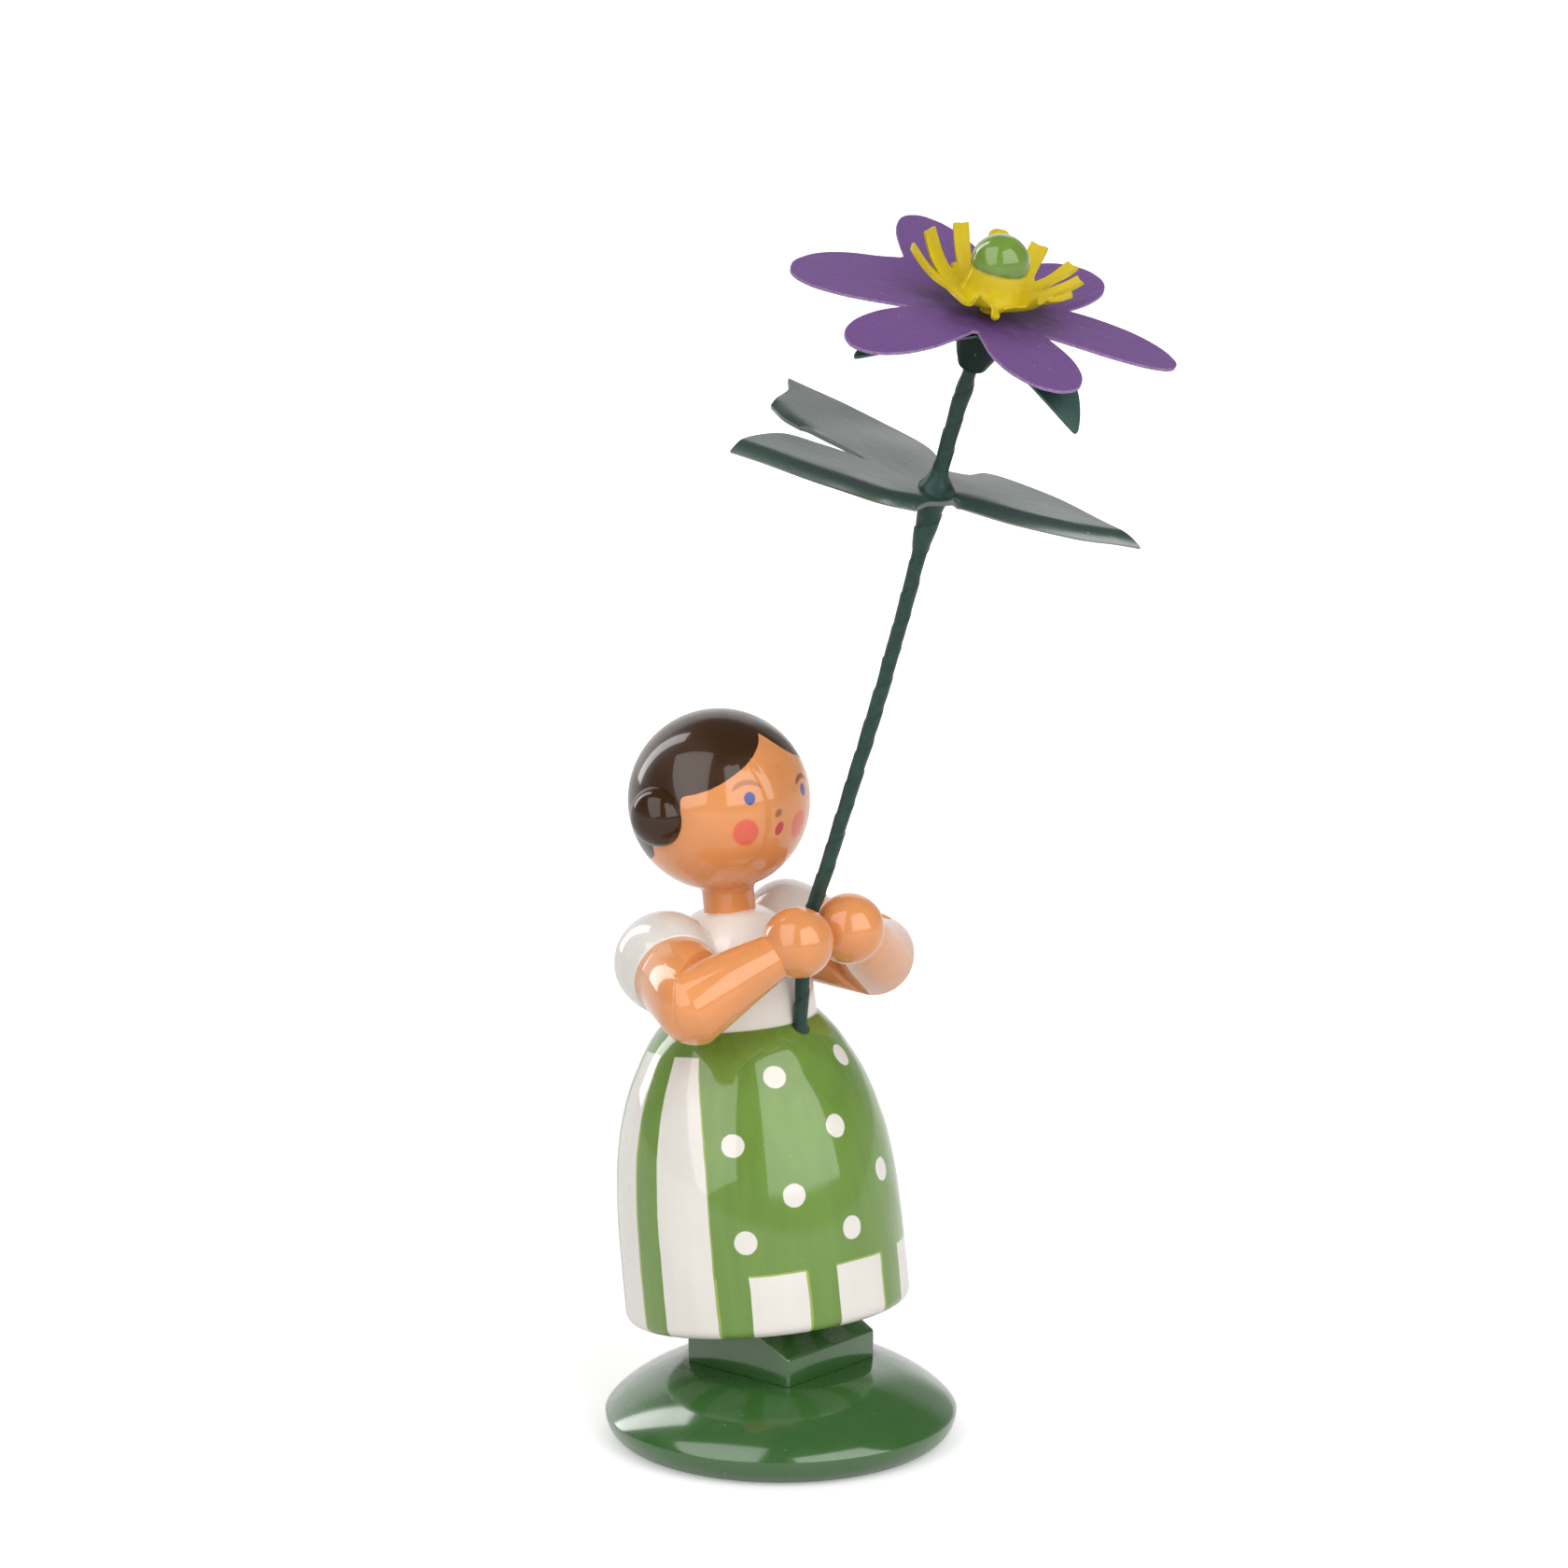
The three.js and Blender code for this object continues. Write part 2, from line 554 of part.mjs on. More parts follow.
// Arms: sleeve, shoulder dowel, upper arm and forearm with its ball hand, mitred at the elbow.
[
  [-1, "right"],
  [1, "left"],
].forEach(([side, name], i) => {
  const mirror = new THREE.Vector3(side, 1, 1);
  const shoulder = SHOULDER.clone().multiply(mirror);
  const elbow = ELBOW.clone().multiply(mirror);
  const hand = new THREE.Vector3(side * HAND_X, HAND_Y, HAND_Z);
  const upperWay = elbow.clone().sub(shoulder);
  const lowerWay = hand.clone().sub(elbow);
  const upperL = upperWay.length();
  const lowerL = lowerWay.length();
  const upperDir = upperWay.clone().normalize();
  const mitre = upperDir.clone().add(lowerWay.clone().normalize()).normalize();

  const puffBack = arc(0, 0, 1, -90, 0, 6).map(([c, s]) => [SLEEVE_R * c, SLEEVE_BACK * s]);
  const cuffTurn = THREE.MathUtils.radToDeg(Math.asin(SLEEVE_CUFF / SLEEVE_FRONT));
  const puffFront = arc(0, 0, 1, 0, cuffTurn, 4).map(([c, s]) => [SLEEVE_R * c, SLEEVE_FRONT * s]);
  const puff = turned([...puffBack, ...puffFront.slice(1), [0, SLEEVE_CUFF]], 24);
  const cuffAt = (t) => shoulder.clone().addScaledVector(upperDir, t);
  const pegRoom = solid(
    rod(cuffAt(SLEEVE_CUFF - ARM_PEG_L - GLUE), cuffAt(SLEEVE_CUFF + 2), ARM_PEG_R + FIT, 14),
  );
  const sleeve = solid(along(puff, shoulder, upperDir))
    .subtract(blouseRoom)
    .subtract(shoulderHoles[i])
    .subtract(pegRoom);
  piece("sleeve_" + name, shape(sleeve), WHITE, body);

  const dowelIn = new THREE.Vector3(side * (NECK_PEG_R + SHOULDER_DOWEL_IN), SHOULDER.y, SHOULDER.z);
  piece("shoulder_dowel_" + name, rod(dowelIn, shoulder, SHOULDER_DOWEL_R, 14), BARE_WOOD, body);

  const roundAt = THREE.MathUtils.radToDeg(Math.acos(ELBOW_R / ELBOW_ROUND));
  const upperProfile = [
    [0, SLEEVE_CUFF - ARM_PEG_L],
    [ARM_PEG_R, SLEEVE_CUFF - ARM_PEG_L],
    [ARM_PEG_R, SLEEVE_CUFF + GLUE],
    [ARM_R, SLEEVE_CUFF + GLUE],
    ...arc(0, upperL, ELBOW_ROUND, roundAt, 90, 4),
  ];
  const upper = solid(along(turned(upperProfile, 24), shoulder, upperDir)).intersect(
    beyond(elbow.clone().addScaledVector(mitre, -GLUE / 2), mitre.clone().negate()),
  );
  piece("upper_arm_" + name, shape(upper.subtract(blouseRoom)), SKIN, body);

  const wristTurn = THREE.MathUtils.radToDeg(Math.acos(WRIST_R / HAND_R));
  const lowerProfile = [
    ...arc(0, 0, ELBOW_ROUND, -90, -roundAt, 4),
    ...arc(0, lowerL, HAND_R, -wristTurn, 90, 9),
  ];
  const lower = solid(along(turned(lowerProfile, 24), elbow, lowerWay)).intersect(
    beyond(elbow.clone().addScaledVector(mitre, GLUE / 2), mitre),
  );
  piece("forearm_" + name, shape(lower), SKIN, body);
});

// Leaf with three lobes across the stem, and the tape binding that carries it.
const leafShare = 1 - (wireTip + STEM_L * (1 - LEAF_AT)) / wireLength;
const leafAt = stemLine.getPointAt(leafShare);
const leafAxis = stemLine.getTangentAt(leafShare);
const leafEdge = LEAF_EDGE.flatMap((run) => {
  const corners = run.map(([x, y]) => new THREE.Vector3(x, y, 0));
  const line = new THREE.CatmullRomCurve3(corners).getPoints(LEAF_STEPS * (run.length - 1));
  return line.slice(1).map((p) => new THREE.Vector2(p.x, p.y));
});
const leafShape = new THREE.Shape(leafEdge);
leafShape.holes.push(new THREE.Path().absarc(0, 0, STEM_R + FIT, 0, Math.PI * 2));
const leafBody = new THREE.ExtrudeGeometry(leafShape, {
  depth: LEAF_T,
  bevelEnabled: false,
  curveSegments: 6,
}).translate(0, 0, -LEAF_T / 2);
piece("leaf", along(leafBody, leafAt, leafAxis), LEAF_GREEN, body);
const bindingProfile = [
  [STEM_R + FIT, 0],
  [BINDING_END_R, 0],
  [BINDING_TOP_R, BINDING_L * 0.75],
  [BINDING_TOP_R, BINDING_L],
  [STEM_R + FIT, BINDING_L],
  [STEM_R + FIT, 0],
];
const bindingAt = leafAt.clone().addScaledVector(leafAxis, -(BINDING_L + LEAF_T / 2 + GLUE));
piece("leaf_binding", along(turned(bindingProfile, 16), bindingAt, leafAxis), STEM_GREEN, body);

// Flower head, threaded on the wire: cup, bracts, petals, stamens and bead.
const threaded = WIRE_R + FIT;
const cupProfile = [
  [threaded, 0],
  [STEM_R + FIT, 0],
  [CUP_R * 0.57, CUP_H * 0.12],
  [CUP_R * 0.82, CUP_H * 0.36],
  [CUP_R * 0.96, CUP_H * 0.6],
  [CUP_R, CUP_H],
  [threaded, CUP_H],
  [threaded, 0],
];
piece("flower_cup", along(turned(cupProfile, 18), atHeight(cupFoot, cupAxis), cupAxis), LEAF_GREEN, body);

const bractLine = [
  [0.1, 0.9],
  [0.3, 1],
  [0.55, 0.98],
  [0.75, 0.75],
  [0.9, 0.4],
  [1, 0.06],
];
const bractBody = cutSheet(
  BRACTS.map((one) => lobe(one, bractLine, BRACT_T, 0.5)),
  BRACT_HUB_R,
  threaded,
  BRACT_T,
);
const bractAt = -(PETAL_T / 2 + GLUE + BRACT_T / 2);
piece("bracts", along(bractBody, atHeight(bractAt - GLUE), flowerAxis), LEAF_GREEN, body);

const petalLine = [
  [0.05, 0.42],
  [0.25, 0.74],
  [0.42, 0.9],
  [0.6, 1],
  [0.76, 0.94],
  [0.88, 0.75],
  [0.96, 0.475],
  [1, 0.14],
];
const petalBody = cutSheet(
  PETALS.map((one) => lobe(one, petalLine, PETAL_T)),
  PETAL_HUB_R,
  threaded,
  PETAL_T,
);
piece("petals", along(petalBody, atHeight(0), flowerAxis), PURPLE, body);

// Stamen strips leave the hub flat and bend up; under the hub is the rolled end of the fringe.
const stripLine = [
  [0.3, 1],
  [0.52, 0.95],
  [0.66, 0.9],
  [0.8, 0.9],
  [1, 1],
];
const fringe = STAMENS.map((one) =>
  lobe({ ...one, width: STAMEN_W, flat: STAMEN_FLAT_R }, stripLine, STAMEN_T, 0, 1),
);
const roll = new THREE.CylinderGeometry(STAMEN_ROLL_R, STAMEN_ROLL_R, STAMEN_RISE + STAMEN_T / 2, 16);
roll.rotateX(Math.PI / 2).translate(0, 0, -(STAMEN_RISE + STAMEN_T / 2) / 2);
const stamenBody = cutSheet(
  [...fringe, solid(roll)],
  STAMEN_HUB_R,
  threaded,
  STAMEN_T,
);
const stamenAt = PETAL_T / 2 + GLUE + STAMEN_RISE + STAMEN_T / 2;
piece("stamens", along(stamenBody, atHeight(stamenAt), flowerAxis), YELLOW, body);

const beadProfile = [
  [0, BEAD_BORE],
  [threaded, BEAD_BORE],
  [threaded, 0],
  [BEAD_FOOT_R, 0],
  [BEAD_FOOT_R, BEAD_FOOT_H],
  ...arc(0, BEAD_H - BEAD_R, BEAD_R, -20, 90, 8),
];
piece("bead", along(turned(beadProfile, 22), atHeight(beadSeat), flowerAxis), BEAD_GREEN, body);

export default figurine;
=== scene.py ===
"""Looks of a small turned and lacquered figurine that holds one tall cut-paper flower.

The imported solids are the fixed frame. Every visible piece is modelled again with smooth surfaces
and gets a node material. Sizes in the code are millimetres; the meshes are metres.
"""

import math
from typing import NamedTuple

import bmesh
import bpy
from bpy.props import FloatProperty, FloatVectorProperty, PointerProperty
from mathutils import Matrix, Vector, geometry, noise


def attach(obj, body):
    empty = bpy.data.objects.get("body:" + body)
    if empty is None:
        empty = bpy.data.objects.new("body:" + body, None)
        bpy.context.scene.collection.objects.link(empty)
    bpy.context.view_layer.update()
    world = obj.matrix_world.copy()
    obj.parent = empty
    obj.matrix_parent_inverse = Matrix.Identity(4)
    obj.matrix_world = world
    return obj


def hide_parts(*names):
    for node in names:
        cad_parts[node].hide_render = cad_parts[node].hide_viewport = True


bl_info = {
    "name": "Flower figurine looks",
    "version": (1, 0, 0),
    "blender": (4, 5, 0),
    "location": "3D View > Sidebar > Figurine",
    "description": "Models and paints a turned wooden figurine with a cut-paper flower",
    "category": "Object",
}

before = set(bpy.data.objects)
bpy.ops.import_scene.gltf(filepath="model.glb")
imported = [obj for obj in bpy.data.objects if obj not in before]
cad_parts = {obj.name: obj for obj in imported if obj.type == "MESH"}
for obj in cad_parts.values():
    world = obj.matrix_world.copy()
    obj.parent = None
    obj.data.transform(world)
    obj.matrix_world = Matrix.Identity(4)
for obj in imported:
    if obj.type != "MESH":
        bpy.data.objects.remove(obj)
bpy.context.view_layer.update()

MM = 1000.0
TO_METRES = Matrix.Scale(1 / MM, 4)
MERGE = 1e-4
SHARP = 38
SIDES = {"right": -1, "left": 1}
UP = (0, 0, 1)


class Lobe(NamedTuple):
    """A lobe of a cut sheet: turn in degrees, reach, width, lift at its end and roll to one side."""

    turn: float
    reach: float
    width: float
    lift: float
    roll: float = 0.0


class Shine(NamedTuple):
    """How a finish reflects: specular level, and weight, roughness and index of its clear coat."""

    level: float
    coat: float = 0.0
    coat_rough: float = 0.1
    coat_ior: float = 1.5


# Steps round each turned piece, cut sheet and wound tube.
STEPS = {
    "base": 144, "skirt": 128, "blouse": 112, "head": 112, "bun": 72, "arm": 96, "cup": 64, "bead": 96,
    "bracts": 360, "petals": 360, "stamens": 720, "tape": 20, "binding": 24,
}

# Base and block.
BASE_EDGE = 2.7
BASE_DOME = 1.52
DOME_STEPS = 28
SEAT_RIM = 0.3
SEAT_LAP = 0.1
BLOCK_FRONT = 2.8
BLOCK_BEVEL = math.radians(27)
BLOCK_H = 4.83
BLOCK_TURN = math.radians(2.5)
BLOCK_EASE = 0.28

# Body: its lean, its place on the block, and the turned outlines of skirt and blouse.
LEAN = math.radians(7.43)
BODY_AT = Vector((0, 1.62, 12.33))
BODY = Matrix.Translation(BODY_AT) @ Matrix.Rotation(-LEAN, 4, "X")
SKIRT_EDGE = 1.1
SKIRT_LINE = [
    (0.17, 1), (0.36, 0.985), (0.46, 0.955), (0.55, 0.91), (0.64, 0.835), (0.73, 0.72),
    (0.8, 0.6), (0.87, 0.44), (0.925, 0.3), (0.965, 0.17), (1, 0.03),
]
BLOUSE_LINE = [
    (-0.02, 1), (0.22, 0.985), (0.45, 0.955), (0.6, 0.905), (0.73, 0.82), (0.84, 0.7),
    (0.92, 0.565), (0.97, 0.45), (0.985, 0.3),
]
NECK_R = 2.5
NECK_H = 1.8
NECK_LAP = 0.6
CHIN_EASE = 0.5
GLUE = 0.25
WAIST_RIM = 0.6
WAIST_RISE = 0.02
BLOUSE_LAP = 0.3

# Arms in the body's frame, for the side where x is positive.
SHOULDER = Vector((8.2, 1.2, 35.6))
ELBOW = Vector((12.3, -6.5, 32.75))
HAND_Y = -12.03
HAND_Z = 37.1
HAND_GAP = 0.3
SLEEVE_BACK = 4.2
SLEEVE_FRONT = 6.8
SLEEVE_CUFF = 3.4
ELBOW_R = 3.95
ELBOW_ROUND = 4.02
WRIST_R = 2.2
CUFF_EASE = 0.25
ARM_LAP = 1
ARM_TAPER = 0.5
MITRE_EASE = 0.03

# Hair buns.
BUN_RISE = 2.0
BUN_SINK = 0.3
BUN_DROP = math.radians(-1)

# Stem in the body's frame, its wound tape, and where the leaf and the flower sit on it.
STEM_SET = 6
STEM_AT_WAIST = 0.3
STEM_OUT = 0.45
STEM_HELD_R = 0.7
GRIP_GAP = 0.18
STEM_TILT = math.radians(27.46)
STEM_LINE = [(0.1, 0.18), (0.25, 0.33), (0.4, 0.45), (0.55, 0.3), (0.7, -0.08), (0.82, -0.32)]
TAPE_PITCH = 3.4
TAPE_STEP = 0.22
TAPE_LAP = 0.13
TAPE_LUMP = 0.07
TAPE_LUMPS_PER_MM = 0.45
TAPE_BULGES = [
    (0, 1.0), (0.8, 1.0), (0.88, 1.08), (0.93, 1.03), (0.965, 1.18), (0.985, 0.92), (1, 0.88),
]
WIRE_TIP = 4.4
CUP_FOOT = -5.862
CUP_FOOT_R = 0.75
CUP_MOUTH = 1.08
CUP_STRAIGHT = 2
TAPE_INTO_CUP = 0.4
CUP_LINE = [(0.06, 0.56), (0.2, 0.7), (0.55, 0.95)]
CUP_PAST = 1.1
CUP_TILT = math.radians(29.4)
FLOWER_TILT = math.radians(22.6)
LEAF_AT = 0.72
BINDING = [
    (0, 0.72), (0.7, 0.86), (2.4, 1.04), (4.4, 1.2), (5.3, 1.36), (6.0, 1.72), (6.6, 1.74),
    (7.1, 1.3), (7.7, 0.96), (8.4, 0.75),
]
BINDING_PAST = 2.3

# Leaf: its cut edge from above in smooth runs from corner to corner, each with how far it curls down.
LEAF_EDGE = [
    (0, [(3.9, 2.6), (6.2, 6.8), (5.2, 16), (3.6, 23)]),
    (0, [(3.6, 23), (1.8, 21.2), (-1, 20.1), (-2.2, 19.5)]),
    (0.25, [(-2.2, 19.5), (-3, 17), (-2.95, 15)]),
    (0, [(-2.95, 15), (-2.6, 11.8), (-2.3, 9.8), (-2.2, 7)]),
    (0, [(-2.2, 7), (-4.1, 10.9), (-6.2, 14), (-9.4, 14.6), (-12.9, 14.2)]),
    (0.75, [(-12.9, 14.2), (-11, 10.5), (-8.7, 5.8), (-6.3, 1.2), (-3.7, -1.2)]),
    (0, [(-3.7, -1.2), (-0.8, -2.4), (0.9, -2.4)]),
    (0.75, [(0.9, -2.4), (4.1, -7.3), (7.7, -11.4), (11, -13.6), (12.6, -15)]),
    (0, [(12.6, -15), (11.9, -11.6), (10.7, -4.4), (8, 0.8), (5.7, 1.15), (3.9, 2.6)]),
]
LEAF_TURNS = [86, 124, -42]
LEAF_CURL_W = 1.5
LEAF_WAVE = 0.14
LEAF_WAVES_PER_MM = 0.15
LEAF_VARNISH = {"from": -14.0, "to": 0.0, "share": 0.6}

# Cut sheets: how finely they are made, their outlines as shares of reach and width, and their lobes.
EDGE_STEPS = 10
RING_SHARES = [0, 0.12, 0.25, 0.38, 0.5, 0.6, 0.69, 0.77, 0.84, 0.9, 0.945, 0.975, 0.992, 1]
SHEET_HOLE = 0.5
SHEET_SHARP = 60
EASED_FROM = math.radians(55)
EDGE_EASE = {"leaf": 0.12, "bracts": 0.08, "petals": 0.08, "stamens": 0.06}
LOBE_SPAN = math.radians(75)
BLEND_SPAN = math.radians(88)
FIBRE_MM = 20
BRACT_LINE = [(0.02, 0.9), (0.1, 0.9), (0.3, 1), (0.55, 0.98), (0.75, 0.75), (0.9, 0.4), (1, 0.03)]
BRACTS = [
    Lobe(172, 15.3, 4.5, -2.3),
    Lobe(261, 14.7, 6, -4.8),
    Lobe(45, 14.6, 4.9, -3),
]
BRACT_ARCH = 0.5
BRACT_HUB_R = 2.9
PETAL_LINE = [
    (0.05, 0.42), (0.25, 0.74), (0.42, 0.893), (0.6, 1), (0.76, 0.94), (0.88, 0.752), (0.96, 0.475),
    (1, 0.1),
]
PETALS = [
    Lobe(110.4, 19.4, 11.2, -1.3, -0.33),
    Lobe(174.6, 16.5, 7.8, -1.55, -0.18),
    Lobe(246.8, 16, 8.2, -0.85, -0.23),
    Lobe(318.1, 17.9, 9.4, -2.1, -0.14),
    Lobe(12.5, 18.5, 8.4, 0.07, 0.14),
    Lobe(62.4, 19.8, 8.7, 1.35, 0.64),
]
STRIP_LINE = [(0.1, 1.15), (0.3, 1.12), (0.52, 1.02), (0.66, 0.95), (0.8, 0.96), (1, 1.04)]
STRIPS = [
    Lobe(12, 7.2, 1.8, 3.5),
    Lobe(44, 6.4, 1.9, 4.4),
    Lobe(75, 7.2, 1.6, 4.25),
    Lobe(106, 7.5, 1.85, 4),
    Lobe(128, 8.1, 1.75, 3),
    Lobe(208, 3.8, 1.8, 0.6),
    Lobe(226, 4.5, 0.55, -0.6),
    Lobe(314, 7, 1.1, 1.5),
    Lobe(331, 8.1, 1.5, 2.15),
    Lobe(351, 8.9, 1.55, 2.4),
]
WEBS = [
    Lobe(28, 4.9, 5, 0.75),
    Lobe(60, 5, 5.4, 0.85),
    Lobe(92, 5.1, 4.4, 0.8),
    Lobe(118, 5.3, 3.6, 0.55),
    Lobe(157, 4.15, 6.4, 0.2),
    Lobe(186, 4.3, 1.6, 0.1),
    Lobe(258, 4, 3.4, 0.7),
    Lobe(290, 4.7, 3.2, 1),
    Lobe(340, 5.2, 4.6, 0.6),
]
STRIP_FLAT = 3.2
STRIP_FOLD = 0.12
STAMEN_HUB_R = 3.3
STAMEN_AT = 1.625
BRACT_AT = -0.875
BEAD_AT = 2.05
BEAD_H = 5.55
BEAD_NECK = [(0, -1.85), (0.95, -1.85), (0.85, -1), (1, -0.3)]
BEAD_FLARE = [(3.3, -0.3), (3.15, 0.05), (2.92, 0.6), (2.78, 1.3)]

# Heights on the bead between which it turns green and its clear coat grows, and how far out from the
# middle of the petals their dark stain, partly painted shade under the stamens, fades.
BEAD_GREEN = (BEAD_AT + 2.35, BEAD_AT + 2.55)
BEAD_CLEAR = (BEAD_AT + 1.4, BEAD_AT + 2.7)
STAIN_AND_SHADE_FADES = (4.2, 8.5)

# Painted patterns: angles in degrees from the front, plus to the figure's left, and heights.
STRIPES = [
    (162.9, 184.9), (198.3, 220.3), (233.6, 255), (269, 293.5), (307.8, 331.1),
    (344.3, 368.6), (383.5, 406), (416.9, 439), (452.2, 474.2), (487.6, 509.6),
]
STRIPE_SHARE = 0.62
APRON_TURN = -5.2
APRON_HALF = 61.3
APRON_STRAIGHT = 14.0
APRON_SPREAD = 0.0416
DEGREES_PER_MM = 4.2
APRON_HEM = 6.05
APRON_BAND = 26.5
DOT_R = 1.13
DOTS = [
    (-30.5, 24.33), (-54.1, 18.58), (-30.5, 13.37), (-52, 9.39), (19.3, 24.79),
    (-5.6, 19.02), (18.2, 13.73), (-6.2, 9.29), (42.7, 18.8), (42.7, 9.35),
]
HAIRLINE = [
    (-180, -38), (-130, -34), (-106, -29), (-99, -19), (-90, -14), (-72.2, -3.7), (-69.8, 10.8),
    (-60.3, 12.8), (-49.2, 15.5), (-37.6, 20.5), (-22.3, 28.7), (-7, 40.1), (2.6, 48.4), (21.4, 30.2),
    (38.1, 23.3), (49, 17), (60, 13.5), (69.8, 10.8), (72.2, -3.7), (90, -14), (99, -19), (106, -29),
    (130, -34), (180, -38),
]
PARTING = 2.6
# Touches of the face: place, direction, half length and width, softness, paint and its share.
TOUCHES = [
    ((-30.2, -14.5), UP, 1.34, 1.273, 0.12, "cheek", 0.92),
    ((15.6, -16.4), UP, 1.34, 1.273, 0.12, "cheek", 0.92),
    ((-26, 6.8), UP, 0.62, 0.558, 0.14, "eye", 1.0),
    ((21.7, 4.6), UP, 0.62, 0.558, 0.14, "eye", 1.0),
    ((-6.3, -5.5), (0.75, 0, 0.55), 0.46, 0.33, 0.3, "brow", 0.8),
    ((-5.3, -15.8), (0.4, 0, 0.9), 0.72, 0.47, 0.14, "mouth", 1.0),
]
# Brows: place of the eye that each curves round, radius in degrees, and share of the paint.
BROWS = [(-26.9, 4.2, 12.8, 0.58), (22.4, 1.6, 11.6, 0.95)]
BROW_HALF = 0.27
BROW_SPREAD = math.cos(math.radians(50))

# Finishes: how they reflect, specks of dust, painted shade for the dark inside the drilled hole, and for
# wood and wire the stretch and detail of the grain, two tints, and the roughness from one to the other.
LACQUER = Shine(0.18, 1.0, 0.05)
SOFT_LACQUER = Shine(0.2, 1.0, 0.11, 1.66)
HAIR_LACQUER = Shine(0.04, 0.7, 0.05)
VARNISH = Shine(0.5, 1.0, 0.24, 1.9)
SATIN = Shine(0.5)
MATT = Shine(0.3)
WAXED = Shine(0.28)
DULL = Shine(0.12)
DUST = (0.6, 0.62, 0.55)
HOLE_SHADE = (0.012, 0.02, 0.008)
WOOD_GRAIN = ((2.5, 2.5, 0.25), (5.0, 0.6), ((0.69, 0.48, 0.25), (0.52, 0.33, 0.15)), (0.55, 0.75))
WIRE_LINES = ((9.0, 9.0, 0.4), (3.0,), ((0.36, 0.37, 0.38), (0.28, 0.29, 0.3)), (0.3, 0.45))

# Camera, as found from the photograph's perspective.
CAMERA_AT = Vector((-0.4975, -0.4643, 0.2286))
CAMERA_TO = Vector((0.0002046, -0.0002194, 0.06451))
CAMERA_LENS = 169.95

# Lamps: angle to the right of the camera, angle up, and size in metres.
LAMPS = {
    "left": (-33, 38, (0.34, 0.74)),
    "right": (34, 38, (0.62, 0.74)),
    "top": (200, 72, (0.7, 0.5)),
}
LAMP_AWAY = 0.9
LAMP_AIM = Vector((0, 0, 0.05))

# Softboxes as gloss shows them. Each faces the figure from an angle to the right of the camera and an
# angle up, and is rolled; its sides are distances from that middle, at a distance of one.
GLOSS_BOXES = [
    {"aside": -48, "up": 45, "roll": 26, "wide": (-0.46, 0.4), "high": (-1.0, 0.45), "glow": 2.6},
    {"aside": 41, "up": 0, "roll": 0, "wide": (-0.6, 0.68), "high": (0.1, 1.6), "glow": 3.1},
    {"aside": -129, "up": 28, "roll": 0, "wide": (-0.12, 0.12), "high": (-0.5, 0.5), "glow": 5.2},
]
GLOSS_SOFT = 0.02


def length(name, value, note):
    """A size in metres, given in millimetres."""
    return FloatProperty(name=name, description=note, default=value / MM, min=0, precision=5, unit="LENGTH")


def colour(name, value, note):
    """A paint colour, in linear light."""
    return FloatVectorProperty(
        name=name, description=note, default=value, size=3, min=0, max=1, subtype="COLOR"
    )


def lamp_power(name, value, note):
    """The power of a lamp."""
    return FloatProperty(name=name, description=note, default=value, min=0, unit="POWER")


class FigureSizes(bpy.types.PropertyGroup):
    """Sizes of the turned pieces."""

    base_r: length("Base radius", 16.95, "Largest radius of the base disc")
    base_h: length("Base height", 7.5, "Height of the flat seat on the base")
    block_side: length("Block side", 12.8, "Side of the square block under the skirt")
    skirt_h: length("Skirt height", 28.5, "Height of the skirt along the leaning body")
    skirt_r: length("Skirt radius", 13.7, "Largest radius of the skirt")
    waist_r: length("Waist radius", 7.4, "Radius where the blouse meets the skirt")
    blouse_h: length("Blouse height", 10.6, "Height of the blouse up to the neck")
    head_r: length("Head radius", 8.72, "Radius of the ball of the head")
    bun_r: length("Bun radius", 2.9, "Radius of each hair bun")
    sleeve_r: length("Sleeve radius", 4.9, "Largest radius of the puffed sleeve")
    arm_r: length("Arm radius", 4.15, "Radius of the upper arm at the cuff")
    hand_r: length("Hand radius", 3.4, "Radius of the ball hand")


class FlowerSizes(bpy.types.PropertyGroup):
    """Sizes of the stem and the flower."""

    stem_r: length("Stem radius", 0.7, "Radius of the taped stem")
    stem_l: length("Stem length", 66.36, "Length of the stem from the hands to the petals")
    leaf_t: length("Leaf thickness", 0.45, "Thickness of the painted leaf")
    bract_t: length("Bract thickness", 0.32, "Thickness of the painted bracts")
    petal_t: length("Petal thickness", 0.28, "Thickness of the petal card")
    petal_hub: length("Petal hub radius", 5.6, "Radius at which the petals part")
    strip_t: length("Strip thickness", 0.3, "Thickness of the stamen strips")
    cup_h: length("Cup height", 4.3, "Height of the cup under the flower")
    cup_r: length("Cup radius", 2.2, "Largest radius of the cup")
    bead_r: length("Bead radius", 2.7, "Radius of the bead")


